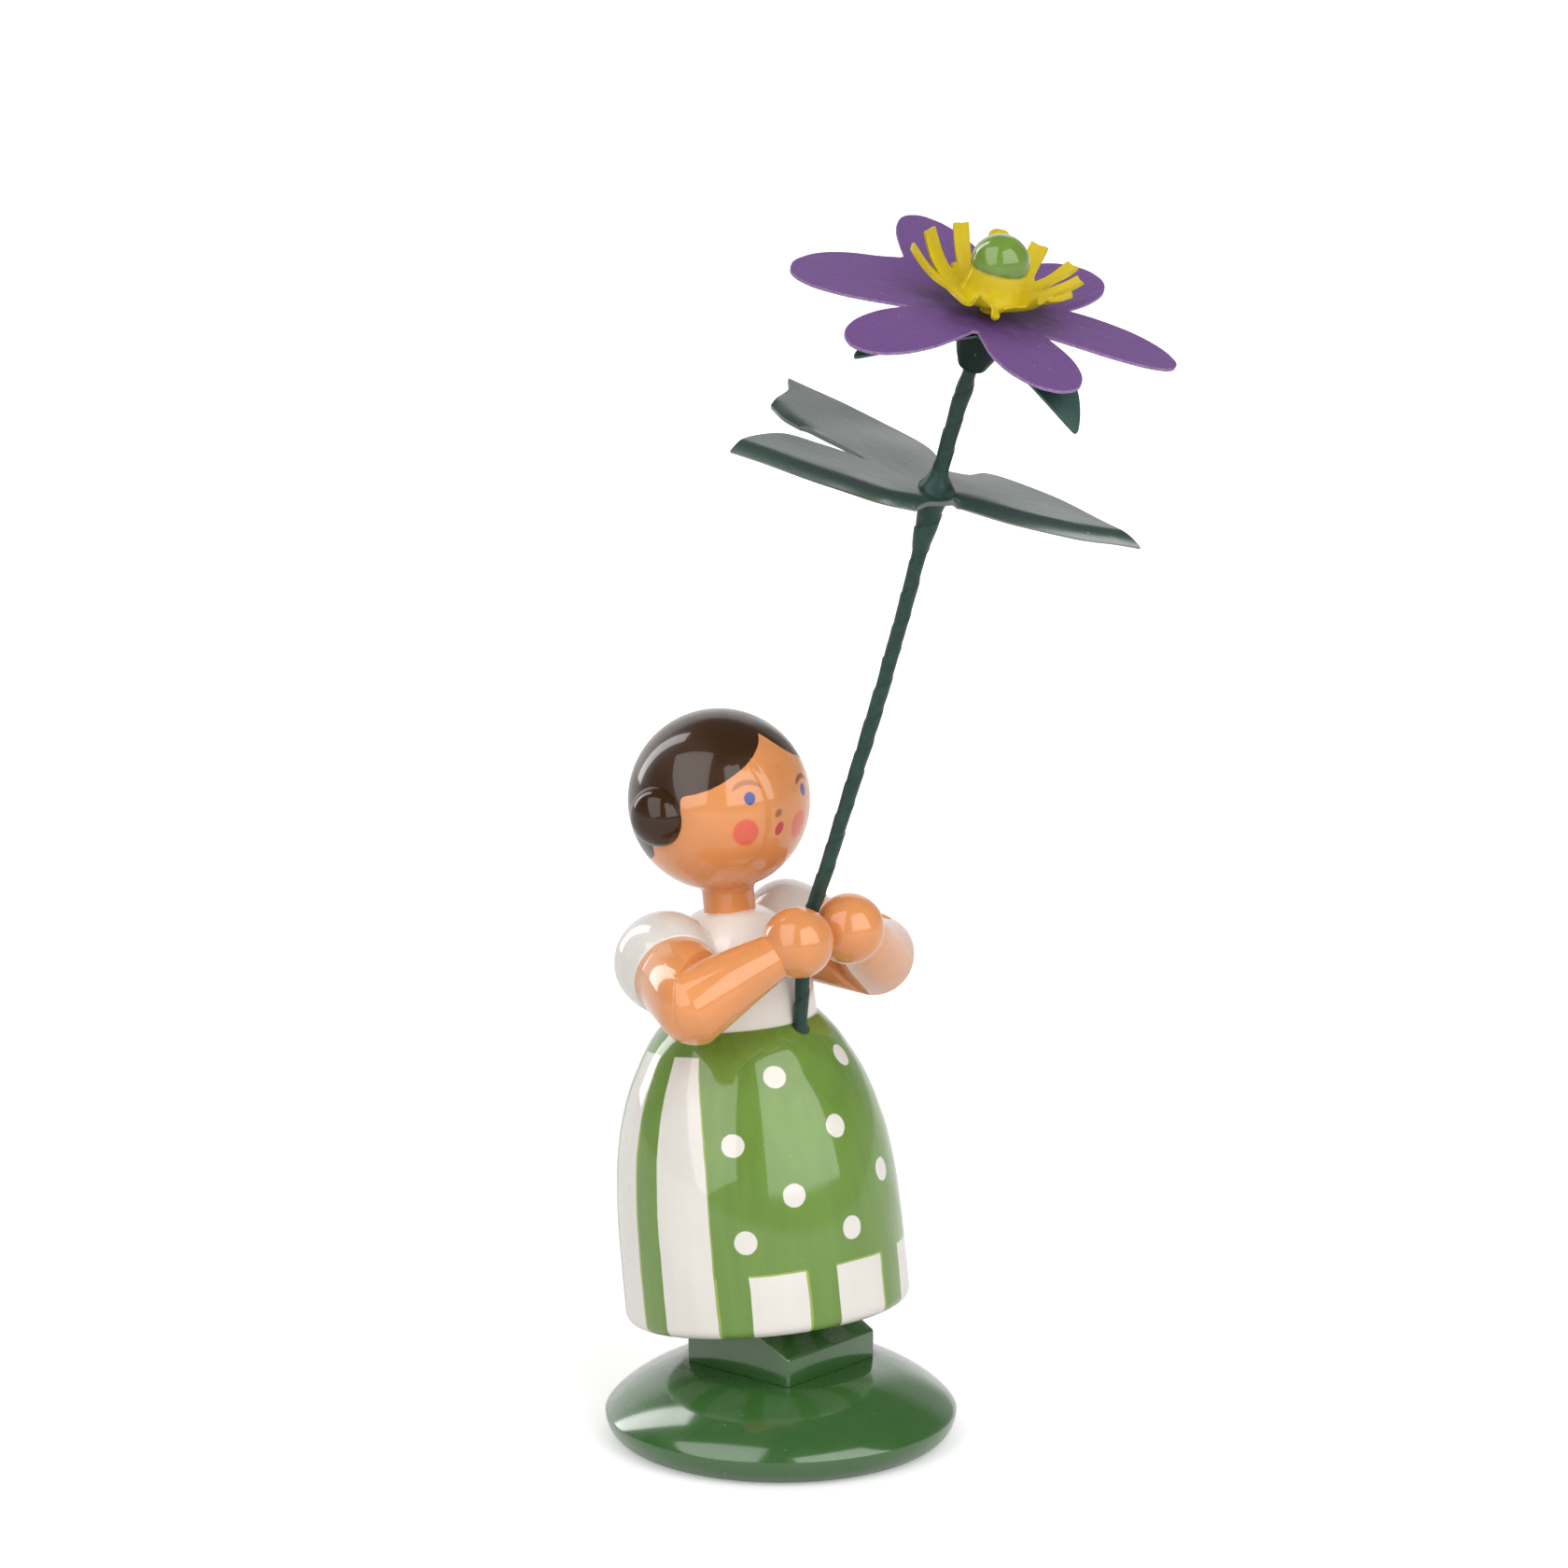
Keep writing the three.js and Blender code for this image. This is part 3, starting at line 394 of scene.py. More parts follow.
class PaintColours(bpy.types.PropertyGroup):
    """Colours of the lacquers, papers and cards."""

    base: colour("Base green", (0.036, 0.115, 0.026), "Dark green of base and block")
    skirt: colour("Skirt green", (0.134, 0.245, 0.038), "Green of apron and stripes")
    fringe: colour("Stripe fringe", (0.36, 0.46, 0.06), "Lime edge where green meets white")
    white: colour("White", (0.775, 0.735, 0.68), "White of blouse, sleeves, stripes and dots")
    skin: colour("Skin", (0.75, 0.29, 0.096), "Warm tan of head and arms")
    hair: colour("Hair", (0.038, 0.0155, 0.0045), "Dark brown of hair and buns")
    eye: colour("Eye", (0.017, 0.034, 0.25), "Blue of the eyes")
    cheek: colour("Cheek", (0.72, 0.1, 0.055), "Coral of the cheeks")
    mouth: colour("Mouth", (0.52, 0.014, 0.022), "Red of the mouth")
    brow: colour("Brow", (0.22, 0.06, 0.012), "Brown of brows and nose")
    stem: colour("Stem", (0.018, 0.047, 0.038), "Dark green of the tape")
    leaf: colour("Leaf", (0.03, 0.064, 0.046), "Dark green of leaf, cup and bracts")
    petal: colour("Petal", (0.134, 0.058, 0.208), "Purple of the petals")
    petal_edge: colour("Petal edge", (0.3, 0.2, 0.37), "Pale cut edge of the petals")
    strip: colour("Stamen", (0.6, 0.455, 0.008), "Yellow of the stamen strips")
    bead: colour("Bead", (0.14, 0.25, 0.034), "Green of the bead")


class StageSettings(bpy.types.PropertyGroup):
    """Light and floor of the plain studio."""

    floor: FloatProperty(
        name="Floor", description="Brightness of the floor", default=0.78, min=0, max=1, subtype="FACTOR"
    )
    fill: FloatProperty(name="Fill", description="Even light from all round", default=0.64, min=0)
    left: lamp_power("Left lamp", 1.95, "Power of the softbox at the left")
    right: lamp_power("Right lamp", 3.7, "Power of the softbox at the right")
    top: lamp_power("Top lamp", 0.9, "Power of the softbox overhead")


class Signal:
    """An output of a node, which can be reckoned with like a number."""

    def __init__(self, wiring, socket):
        self.wiring = wiring
        self.socket = socket

    def __add__(self, other):
        return self.wiring.math("ADD", self, other)

    def __sub__(self, other):
        return self.wiring.math("SUBTRACT", self, other)

    def __rsub__(self, other):
        return self.wiring.math("SUBTRACT", other, self)

    def __mul__(self, other):
        return self.wiring.math("MULTIPLY", self, other)

    def __truediv__(self, other):
        return self.wiring.math("DIVIDE", self, other)

    def __abs__(self):
        return self.wiring.math("ABSOLUTE", self)


class Wiring:
    """Adds nodes to a tree and joins them."""

    def __init__(self, tree):
        self.tree = tree

    def give(self, socket, value):
        if isinstance(value, Signal):
            self.tree.links.new(value.socket, socket)
        else:
            socket.default_value = value

    def add(self, kind, inputs=None, **settings):
        node = self.tree.nodes.new(kind)
        for key, value in settings.items():
            setattr(node, key, value)
        for key, value in (inputs or {}).items():
            if value is not None:
                self.give(node.inputs[key], value)
        return node

    def take(self, kind, inputs=None, output=0, **settings):
        """One output of a new node."""
        return Signal(self, self.add(kind, inputs, **settings).outputs[output])

    def results(self, kind, inputs=None, **settings):
        """All outputs of a new node, by name."""
        return {out.name: Signal(self, out) for out in self.add(kind, inputs, **settings).outputs}

    def effect(self, name, *values):
        """All outputs of a shared effect, by name, with its inputs given in order."""
        return self.results("ShaderNodeGroup", dict(enumerate(values)), node_tree=shared(name))

    def math(self, operation, a, b=None, c=None):
        return self.take("ShaderNodeMath", {0: a, 1: b, 2: c}, operation=operation)

    def most(self, first, *others):
        """The largest of several values."""
        for other in others:
            first = self.math("MAXIMUM", first, other)
        return first

    def vector(self, operation, a, b=None, scale=None):
        output = "Value" if operation in {"LENGTH", "DOT_PRODUCT"} else "Vector"
        return self.take("ShaderNodeVectorMath", {0: a, 1: b, "Scale": scale}, output, operation=operation)

    def axes(self, vector):
        """The x, y and z of a vector."""
        return list(self.results("ShaderNodeSeparateXYZ", {0: vector}).values())

    def ramp(self, value, low, high, to_low=0.0, to_high=1.0):
        ends = {"Value": value, 1: low, 2: high, 3: to_low, 4: to_high}
        return self.take("ShaderNodeMapRange", ends, interpolation_type="SMOOTHSTEP")

    def mix(self, share, a, b):
        return self.take("ShaderNodeMix", {0: share, 6: opaque(a), 7: opaque(b)}, 2, data_type="RGBA")

    def noise(self, point, scale, detail=2.0, rough=0.5):
        ends = {"Vector": point, "Scale": scale, "Detail": detail, "Roughness": rough}
        return self.take("ShaderNodeTexNoise", ends)

    def stretched(self, point, stretch, detail, rough=0.5):
        """Noise that is drawn out along some of the axes."""
        return self.noise(self.vector("MULTIPLY", point, stretch), 1.0, detail, rough)

    def curve(self, value, points, handle="AUTO", corner=-1.0):
        node = self.add("ShaderNodeFloatCurve", {"Value": value})
        line = node.mapping.curves[0].points
        line[0].location, line[-1].location = points[0], points[-1]
        for x, y in points[1:-1]:
            line.new(x, y)
        for point in line:
            point.handle_type = "VECTOR" if abs(point.location.x - corner) < MERGE else handle
        node.mapping.update()
        return Signal(self, node.outputs[0])


def opaque(value):
    """A colour for a colour socket."""
    return value if isinstance(value, Signal) else (*value, 1.0)


def shade(paint, *shares):
    """A colour scaled by one share, or by a share for each channel."""
    return tuple(share * v for share, v in zip(shares * 3, paint))


def specks(w, point, per_mm, edge, rare):
    """A mask of small specks, on some of the cells of a pattern."""
    cells = w.results("ShaderNodeTexVoronoi", {"Vector": point, "Scale": per_mm})
    chosen = w.take("ShaderNodeSeparateColor", {0: cells["Color"]})
    return w.ramp(cells["Distance"], *edge, 1.0, 0.0) * w.math("GREATER_THAN", chosen, rare)


def lacquer_film(w, point, gloss):
    """Uneven tone, fine orange peel and dust specks of a brushed and dipped lacquer."""
    return {
        "Tone": w.ramp(w.noise(point, 0.11, 3.0), 0.3, 0.7, 0.97, 1.03),
        "Roughness": w.ramp(w.noise(point, 0.35, 4.0), 0.35, 0.75, 0.9, 1.5) * gloss,
        "Height": w.noise(point, 0.75),
        "Specks": specks(w, point, 0.62, (0.03, 0.06), 0.62),
    }


def paint_oval(w, point, centre, along, half_length, half_width, softness):
    """An oval touch of the brush: a mask round a centre, longer along one direction."""
    away = w.vector("SUBTRACT", point, centre)
    forth = w.vector("DOT_PRODUCT", away, along)
    aside = w.vector("DOT_PRODUCT", away, away) - forth * forth
    lengthwise = forth / half_length
    out = w.math("SQRT", lengthwise * lengthwise + aside / (half_width * half_width))
    out = out + (w.noise(point, 1.3, 1.0) - 0.5) * 0.12
    return {"Mask": w.ramp(out, 1.0 - softness, softness + 1.0, 1.0, 0.0)}


def paint_arc(w, point, centre, up, radius, half_width, spread):
    """A thin curved stroke of the brush: part of a ring round a centre, tapered to its ends."""
    away = w.vector("SUBTRACT", point, centre)
    upward = w.vector("DOT_PRODUCT", w.vector("NORMALIZE", away), up)
    taper = w.math("POWER", w.ramp(upward, spread, 1.0), 0.45)
    half = half_width * taper
    miss = abs(w.vector("LENGTH", away) - radius)
    mask = w.ramp(miss, half * 0.55, half * 1.35, 1.0, 0.0)
    return {"Mask": mask * w.math("GREATER_THAN", taper, 0.02)}


def card_fibre(w, lie, point):
    """Lengthwise brush streaks, fine tooth and pale specks of painted card."""
    return {
        "Streaks": w.stretched(lie, (5.0, 60.0, 1.0), 4.0, 0.6),
        "Tooth": w.noise(point, 3.2, 3.0, 0.6),
        "Specks": specks(w, point, 0.8, (0.05, 0.11), 0.78),
    }


# Shared effects: what makes each, and the names of its vector inputs and of its other inputs.
EFFECTS = {
    "lacquer_film": (lacquer_film, ["Point"], ["Gloss"]),
    "paint_oval": (paint_oval, ["Point", "Centre", "Along"], ["Half Length", "Half Width", "Softness"]),
    "paint_arc": (paint_arc, ["Point", "Centre", "Up"], ["Radius", "Half Width", "Spread"]),
    "card_fibre": (card_fibre, ["Lie", "Point"], []),
}


def shared(name):
    """The node group of a shared effect, made the first time it is asked for."""
    tree = bpy.data.node_groups.get(name)
    if tree:
        return tree
    make, vectors, values = EFFECTS[name]
    tree = bpy.data.node_groups.new(name, "ShaderNodeTree")
    for label in vectors + values:
        kind = "NodeSocketVector" if label in vectors else "NodeSocketFloat"
        tree.interface.new_socket(name=label, in_out="INPUT", socket_type=kind)
    w = Wiring(tree)
    inside = w.results("NodeGroupInput")
    made = make(w, *(inside[label] for label in vectors + values))
    for label in made:
        tree.interface.new_socket(name=label, in_out="OUTPUT", socket_type="NodeSocketFloat")
    w.add("NodeGroupOutput", made)
    return tree


def new_finish(name):
    """An empty node material and the wiring for it."""
    material = bpy.data.materials.new(name)
    material.use_nodes = True
    material.node_tree.nodes.clear()
    return material, Wiring(material.node_tree)


def local_point(w, place=(0, 0, 0), turn=0):
    """Object coordinates in millimetres, centred on a place and turned about X with its piece."""
    ends = {
        "Vector": w.take("ShaderNodeTexCoord", output="Object"),
        "Location": tuple(v / MM for v in place),
        "Rotation": (turn, 0, 0),
        "Scale": (1 / MM,) * 3,
    }
    return w.take("ShaderNodeMapping", ends, vector_type="TEXTURE")


def coat(w, paint, rough, height, depth, shine, weight=None, metallic=0.0):
    """The shader of a finish: paint under clear coat, with roughness and relief from nodes."""
    settings = {
        "Base Color": paint,
        "Metallic": metallic,
        "Roughness": rough,
        "Normal": w.take("ShaderNodeBump", {"Height": height, "Strength": 1.0, "Distance": depth / MM}),
        "IOR": 1.5,
        "Specular IOR Level": shine.level,
        "Coat Weight": shine.coat if weight is None else weight,
        "Coat Roughness": shine.coat_rough,
        "Coat IOR": shine.coat_ior,
    }
    w.add("ShaderNodeOutputMaterial", {"Surface": w.take("ShaderNodeBsdfPrincipled", settings)})


def lacquer(name, paint_on, place=BODY_AT, turn=-LEAN, gloss=0.3, shine=LACQUER):
    """A gloss lacquer: paint_on(w, point) gives its colour, a mask of proud paint and a weight of coat."""
    material, w = new_finish(name)
    point = local_point(w, place, turn)
    film = w.effect("lacquer_film", point, gloss)
    bare, proud, weight = paint_on(w, point)
    toned = w.vector("SCALE", bare, scale=film["Tone"])
    paint = w.mix(film["Specks"] * 0.35, toned, DUST)
    height = film["Height"] * 0.05 + film["Specks"] * 0.25
    if proud is not None:
        height = height + proud * 0.6
    coat(w, paint, film["Roughness"], height, 0.02, shine, weight)
    return material


def plain_paint(value):
    """Paint of one colour with a faint depth of tone, for lacquer()."""

    def paint_on(w, point):
        return w.mix(w.ramp(w.noise(point, 0.4), 0.35, 0.65), value, shade(value, 0.95)), None, None

    return paint_on


def turn_and_height(w, point):
    """Angle from the front in degrees, plus to the figure's left, and height of a point."""
    x, y, z = w.axes(point)
    return w.math("DEGREES", w.math("ARCTAN2", x, y * -1.0)), z


def stripe_phase(w, turn):
    """How far a turn is through its white stripe and the green one after it."""
    first = STRIPES[0][0]
    count = len(STRIPES)
    starts = [*((start - first) / 360 for start, _ in STRIPES[1:]), 1]
    points = [(0, 0)]
    for i, (_, end) in enumerate(STRIPES):
        points += [((end - first) / 360, (i + STRIPE_SHARE) / count), (starts[i], (i + 1) / count)]
    lap = w.math("FRACT", (turn - first) / 360.0)
    return w.math("FRACT", w.curve(lap, points, "VECTOR") * count)


def dot_place(turn, height):
    """Centre of a dot on the skirt."""
    s = figure()
    out = wide_at([(0, 1), *SKIRT_LINE], height / s["skirt_h"])
    r = s["waist_r"] + (s["skirt_r"] - s["waist_r"]) * out
    return r * math.sin(math.radians(turn)), -r * math.cos(math.radians(turn)), height


def skirt_paint(w, point):
    """White and green stripes, a dotted green apron with its waistband, and lime edges."""
    colours = paints()
    turn, height = turn_and_height(w, point)
    wander = w.noise(point, 0.22) - 0.5
    turn = turn + wander * 1.6
    half = STRIPE_SHARE / 2
    off = abs(stripe_phase(w, turn) - half)
    stripe = w.ramp(off, half - 0.006, half + 0.006, 1.0, 0.0)
    stripe_edge = w.ramp(abs(off - (half + 0.016)), 0.006, 0.02, 1.0, 0.0)

    rise = w.most(height - APRON_STRAIGHT, 0.0)
    spread = rise * rise * APRON_SPREAD + APRON_HALF
    side = (abs(turn - APRON_TURN) - spread) / DEGREES_PER_MM
    level = height + wander * 0.35
    outside = w.math("MINIMUM", w.most(side, APRON_HEM - level), APRON_BAND - level)
    apron = w.ramp(outside, -0.03, 0.03, 1.0, 0.0)
    apron_edge = w.ramp(abs(outside + 0.09), 0.04, 0.12, 1.0, 0.0)
    apron_edge = apron_edge * w.ramp(off, half, half + 0.03, 0.75, 0.0)
    apron_edge = apron_edge * w.ramp(height, APRON_BAND - 0.8, APRON_BAND - 0.2, 1.0, 0.0)

    touches = [(dot_place(*dot), DOT_R, DOT_R * 0.98, 0.045) for dot in DOTS]
    # A dark oval at the stem's mouth, painted shade that stands for the drilled hole round the stem.
    touches.append((tuple(stem_points()["mouth"]), 1.15, 1.0, 0.12))
    *dots, hole = (w.effect("paint_oval", point, one[0], UP, *one[1:])["Mask"] for one in touches)
    dots = w.most(*dots)

    streak = w.ramp(w.stretched(point, (0.9, 0.9, 0.08), 3.0), 0.3, 0.7)
    green = w.mix(streak, colours["skirt"], shade(colours["skirt"], 1.1))
    white = w.mix(streak, colours["white"], shade(colours["white"], 0.965))
    striped = w.mix(stripe_edge * 0.75, w.mix(stripe, green, white), colours["fringe"])
    paint = w.mix(apron_edge, w.mix(apron, striped, green), colours["fringe"])
    paint = w.mix(dots, paint, colours["white"])
    # Painted shade: the skirt is darkened round the stem's mouth in place of the inside of its hole.
    paint = w.mix(hole * 0.85, paint, HOLE_SHADE)
    return paint, w.most(dots, apron, 1.0 - stripe), None


def facing(turn, latitude):
    """Direction from the head's centre to a place on it."""
    turn, latitude = math.radians(turn), math.radians(latitude)
    level = math.cos(latitude)
    return Vector((math.sin(turn) * level, -math.cos(turn) * level, math.sin(latitude)))


def face_paint(w, point):
    """Skin, painted hair down to its hairline, and the touches of the face."""
    colours = paints()
    r = figure()["head_r"]
    out = w.vector("NORMALIZE", w.vector("SUBTRACT", point, (0, 0, head_height())))
    turn, rise = turn_and_height(w, out)
    latitude = w.math("DEGREES", w.math("ARCSINE", rise))
    line = [((x + 180) / 360, (y + 90) / 180) for x, y in HAIRLINE]
    hairline = w.curve((turn + 180.0) / 360.0, line, "AUTO", (PARTING + 180) / 360) * 180.0 - 90.0
    hair = w.ramp(latitude - hairline + (w.noise(point, 0.6) - 0.5) * 1.2, -0.35, 0.35)
    drift = w.ramp(w.noise(point, 0.3), 0.35, 0.65)
    paint = w.mix(drift, colours["skin"], shade(colours["skin"], 0.94))
    proud = hair
    for place, along, half_length, half_width, softness, tint, share in TOUCHES:
        ends = [tuple(facing(*place)), tuple(Vector(along).normalized()), half_length / r, half_width / r]
        mask = w.effect("paint_oval", out, *ends, softness)["Mask"]
        paint = w.mix(mask * share, paint, colours[tint])
        proud = w.most(proud, mask)
    for *place, radius, share in BROWS:
        centre = facing(*place)
        up = Vector(UP) - centre * centre.z
        ends = [tuple(centre), tuple(up.normalized()), 2 * math.sin(math.radians(radius) / 2)]
        mask = w.effect("paint_arc", out, *ends, BROW_HALF / r, BROW_SPREAD)["Mask"]
        paint = w.mix(mask * share, paint, colours["brow"])
    paint = w.mix(hair, paint, colours["hair"])
    return paint, proud, w.ramp(hair, 0.0, 1.0, LACQUER.coat, HAIR_LACQUER.coat)


def bead_paint(w, point):
    """Green over yellow, under a clear coat that runs thin on the yellow foot."""
    bead, strip = paints()["bead"], paints()["strip"]
    height = w.axes(point)[2]
    wander = (w.noise(point, 0.5, 1.0) - 0.5) * 0.3
    green = w.ramp(height + wander, *BEAD_GREEN)
    cloud = w.ramp(w.noise(point, 0.7, 3.0), 0.3, 0.7)
    yellow = w.mix(cloud, shade(strip, 1.1), strip)
    weight = w.ramp(height, *BEAD_CLEAR, 0.1, 1.0)
    return w.mix(green, yellow, w.mix(cloud, bead, shade(bead, 1.12))), None, weight


def card(name, face, rim, shine, rough, place=(0, 0, 0), turn=0, stain_and_shade=0.0, thin=None):
    """Painted card: brush streaks along each lobe, a fine tooth, and a rim where it was cut."""
    material, w = new_finish(name)
    point = local_point(w, place, turn)
    fibre = w.effect("card_fibre", w.take("ShaderNodeUVMap", uv_map="lie"), point)
    streaks, tooth = fibre["Streaks"], fibre["Tooth"]
    paint = w.mix(w.ramp(streaks, 0.3, 0.7), face, shade(face, 0.975))
    paint = w.mix(fibre["Specks"] * 0.3, paint, tuple(0.5 + 0.5 * v for v in face))
    # The petals darken in patches towards the middle: partly a dark stain, partly painted shade under the
    # stamens and the bead.
    if stain_and_shade:
        inward = w.ramp(w.vector("LENGTH", point), *STAIN_AND_SHADE_FADES, stain_and_shade, 0.0)
        patchy = inward * w.ramp(w.noise(point, 0.5, 3.0), 0.3, 0.65, 0.3, 1.0)
        paint = w.mix(patchy, paint, shade(face, 0.35))
    cut = w.ramp(w.take("ShaderNodeAttribute", output="Fac", attribute_name="edge"), 0.992, 0.9995)
    paint = w.mix(cut * w.ramp(tooth, 0.35, 0.6, 0.45, 1.0), paint, rim)
    weight = None
    if thin:
        back = w.axes(point)[1]
        weight = w.ramp(back, thin["from"], thin["to"], shine.coat, thin["share"])
    shaded = w.ramp(streaks, 0.3, 0.7, rough * 0.85, rough * 1.15)
    coat(w, paint, shaded, streaks * 0.1 + tooth, 0.03, shine, weight)
    return material


def tape_finish():
    """Waxed paper tape wound up the stem: laps, creases and a waxy shine."""
    stem = paints()["stem"]
    material, w = new_finish("wound_tape")
    lie = w.take("ShaderNodeUVMap", uv_map="lie")
    along, around, _ = w.axes(lie)
    lap = w.math("FRACT", along / TAPE_PITCH - around)
    seam = w.ramp(abs(lap - 0.5), 0.44, 0.5)
    crease = w.stretched(lie, (0.7, 9.0, 1.0), 4.0, 0.6)
    mottle = w.ramp(w.noise(local_point(w), 0.9, 3.0), 0.35, 0.7)
    paint = w.mix(seam * 0.45, w.mix(mottle, stem, shade(stem, 1.35)), shade(stem, 0.6))
    coat(w, paint, w.ramp(crease, 0.3, 0.7, 0.3, 0.5), crease * 0.9 + lap * 0.5, 0.05, WAXED)
    return material


def drawn_finish(name, stretch, detail, tints, rough, relief, shine, metallic=0.0):
    """Bare wood or wire, with grain or die lines along the body."""
    material, w = new_finish(name)
    grain = w.stretched(local_point(w, BODY_AT, -LEAN), stretch, *detail)
    paint = w.mix(w.ramp(grain, 0.3, 0.7), *tints)
    coat(w, paint, w.ramp(grain, 0.3, 0.7, *rough), grain, relief, shine, metallic=metallic)
    return material


def tilted(angle):
    """Direction in the body's frame, tilted forward from its upright line."""
    return Vector((0, -math.sin(angle), math.cos(angle)))


def upright(start, axis):
    """Place of a piece that stands on +Z: it starts at a point and follows a direction."""
    turn = Vector(UP).rotation_difference(axis).to_matrix().to_4x4()
    return Matrix.Translation(start) @ turn


def flowing(points, per):
    """Points of a smooth line through the given ones."""
    points = [Vector(p) for p in points]
    whole = [2 * points[0] - points[1], *points, 2 * points[-1] - points[-2]]
    line = []
    for a, b, c, d in zip(whole, whole[1:], whole[2:], whole[3:]):
        t1 = (b - a).length ** 0.5
        t2 = t1 + (c - b).length ** 0.5
        t3 = t2 + (d - c).length ** 0.5
        for i in range(per):
            t = t1 + (t2 - t1) * i / per
            ab = a.lerp(b, t / t1)
            bc = b.lerp(c, (t - t1) / (t2 - t1))
            cd = c.lerp(d, (t - t2) / (t3 - t2))
            first = ab.lerp(bc, t / t2)
            second = bc.lerp(cd, (t - t1) / (t3 - t1))
            line.append(first.lerp(second, (t - t1) / (t2 - t1)))
    return [*line, points[-1]]


def eased(corners, segments=5):
    """A profile from (radius, height) corners; a third number rounds a corner back by that much."""
    places = [Vector(corner[:2]) for corner in corners]
    line = []
    for i, corner in enumerate(corners):
        here = places[i]
        if len(corner) < 3:
            line.append(here)
            continue
        ends = (places[i - 1], places[i + 1])
        before, after = (here + (end - here).normalized() * corner[2] for end in ends)
        for k in range(segments + 1):
            t = k / segments
            line.append(before.lerp(here, t).lerp(here.lerp(after, t), t))
    return line


def arc(r, z, radius, start, end, steps):
    """Points of an arc round (r, z), in degrees above the outward direction."""
    turns = [math.radians(start + (end - start) * i / steps) for i in range(steps + 1)]
    return [Vector((r + radius * math.cos(a), z + radius * math.sin(a))) for a in turns]


def revolved(bm, points, steps):
    """Spins a line of points about +Z, closes the seam and the poles, and turns the faces outward."""
    verts = [bm.verts.new(point) for point in points]
    edges = [bm.edges.new(ends) for ends in zip(verts, verts[1:])]
    bmesh.ops.spin(
        bm, geom=verts + edges, cent=(0, 0, 0), axis=UP, dvec=(0, 0, 0),
        angle=math.tau, steps=steps, use_merge=True,
    )
    bmesh.ops.remove_doubles(bm, verts=bm.verts, dist=MERGE)
    bmesh.ops.recalc_face_normals(bm, faces=bm.faces)
    return bm


def spun(profile, steps):
    """A turned body about +Z from (radius, height) points, bottom first."""
    return revolved(bmesh.new(), [(max(r, 0), 0, z) for r, z in profile], steps)


def bevelled(bm, edges, offset, segments):
    """Rounds some edges of a bmesh."""
    bmesh.ops.bevel(
        bm, geom=edges, offset=offset, offset_type="OFFSET", affect="EDGES",
        segments=segments, profile=0.5, material=-1,
    )


def of_kind(kind, elements):
    """The vertices or the edges among the elements that an operator gives back."""
    return [one for one in elements if isinstance(one, kind)]


def placed(bm, place):
    """Moves a bmesh to its place and returns it."""
    bmesh.ops.transform(bm, matrix=place, verts=bm.verts)
    return bm


def keep(bm, place, node, finish, sharp=SHARP):
    """Puts a finished bmesh in the scene as the piece that stands for a node of the frame."""
    placed(placed(bm, place), TO_METRES)
    mesh = bpy.data.meshes.new("finished_" + node)
    bm.to_mesh(mesh)
    bm.free()
    mesh.shade_smooth()
    mesh.set_sharp_from_angle(angle=math.radians(sharp))
    mesh.materials.append(finish)
    piece = bpy.data.objects.new("finished_" + node, mesh)
    bpy.context.scene.collection.objects.link(piece)
    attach(piece, "root")
    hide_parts(node)
    return piece


def keep_sheet(bm, place, node, finish, thickness):
    """Keeps a cut sheet, gives it its thickness and eases its edges."""
    piece = keep(bm, place, node, finish, SHEET_SHARP)
    wall = piece.modifiers.new("thickness", "SOLIDIFY")
    wall.thickness = thickness / MM
    wall.offset = 0
    rim = piece.modifiers.new("eased_edge", "BEVEL")
    rim.width = EDGE_EASE[node] / MM
    rim.segments = 2
    rim.limit_method = "ANGLE"
    rim.angle_limit = EASED_FROM
    rim.harden_normals = True


def dress(node, finish):
    """Gives a node of the frame a finish."""
    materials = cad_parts[node].data.materials
    materials.clear()
    materials.append(finish)


def sizes_of(group):
    """The sizes of a property group in millimetres, by name."""
    return {key: getattr(group, key) * MM for key in group.__annotations__}


def figure():
    """Sizes of the turned pieces."""
    return sizes_of(bpy.context.scene.figure_sizes)


def paints():
    """The paint colours by name."""
    group = bpy.context.scene.paint_colours
    return {key: tuple(getattr(group, key)) for key in group.__annotations__}


def head_height():
    """Height of the head's centre along the body."""
    s = figure()
    rest = math.sqrt(s["head_r"] ** 2 - NECK_R**2)
    return s["skirt_h"] + GLUE + s["blouse_h"] + GLUE + NECK_H + rest


def stem_points():
    """Places along the stem in the body's frame, and its whole line from foot to flower."""
    s = figure()
    length_up = sizes_of(bpy.context.scene.flower_sizes)["stem_l"]
    mouth = Vector((0, -(s["waist_r"] + STEM_OUT), s["skirt_h"] - STEM_AT_WAIST))
    hand_x = s["hand_r"] + HAND_GAP / 2
    hold = s["hand_r"] + STEM_HELD_R + GRIP_GAP
    grip = Vector((0, HAND_Y + math.sqrt(hold**2 - hand_x**2), HAND_Z))
    rise = tilted(STEM_TILT)
    forward = tilted(STEM_TILT + math.pi / 2)
    top = grip + rise * length_up
    cup_axis = tilted(CUP_TILT)
    flower_axis = tilted(FLOWER_TILT)
    foot = mouth - (grip - mouth).normalized() * STEM_SET
    bends = [grip + rise * length_up * share + forward * bend for share, bend in STEM_LINE]
    knots = [foot, mouth, mouth.lerp(grip, 0.6), grip, *bends]
    knots += [top + cup_axis * (CUP_FOOT - CUP_STRAIGHT), top + cup_axis * CUP_FOOT]
    knots += [top, top + flower_axis * WIRE_TIP]
    steps = walked(flowing(knots, 24), TAPE_STEP)
    return {
        "mouth": mouth,
        "top": top,
        "cup_axis": cup_axis,
        "flower_axis": flower_axis,
        "steps": steps,
        "leaf_at": steps[-1][0] - (WIRE_TIP + length_up * (1 - LEAF_AT)),
    }


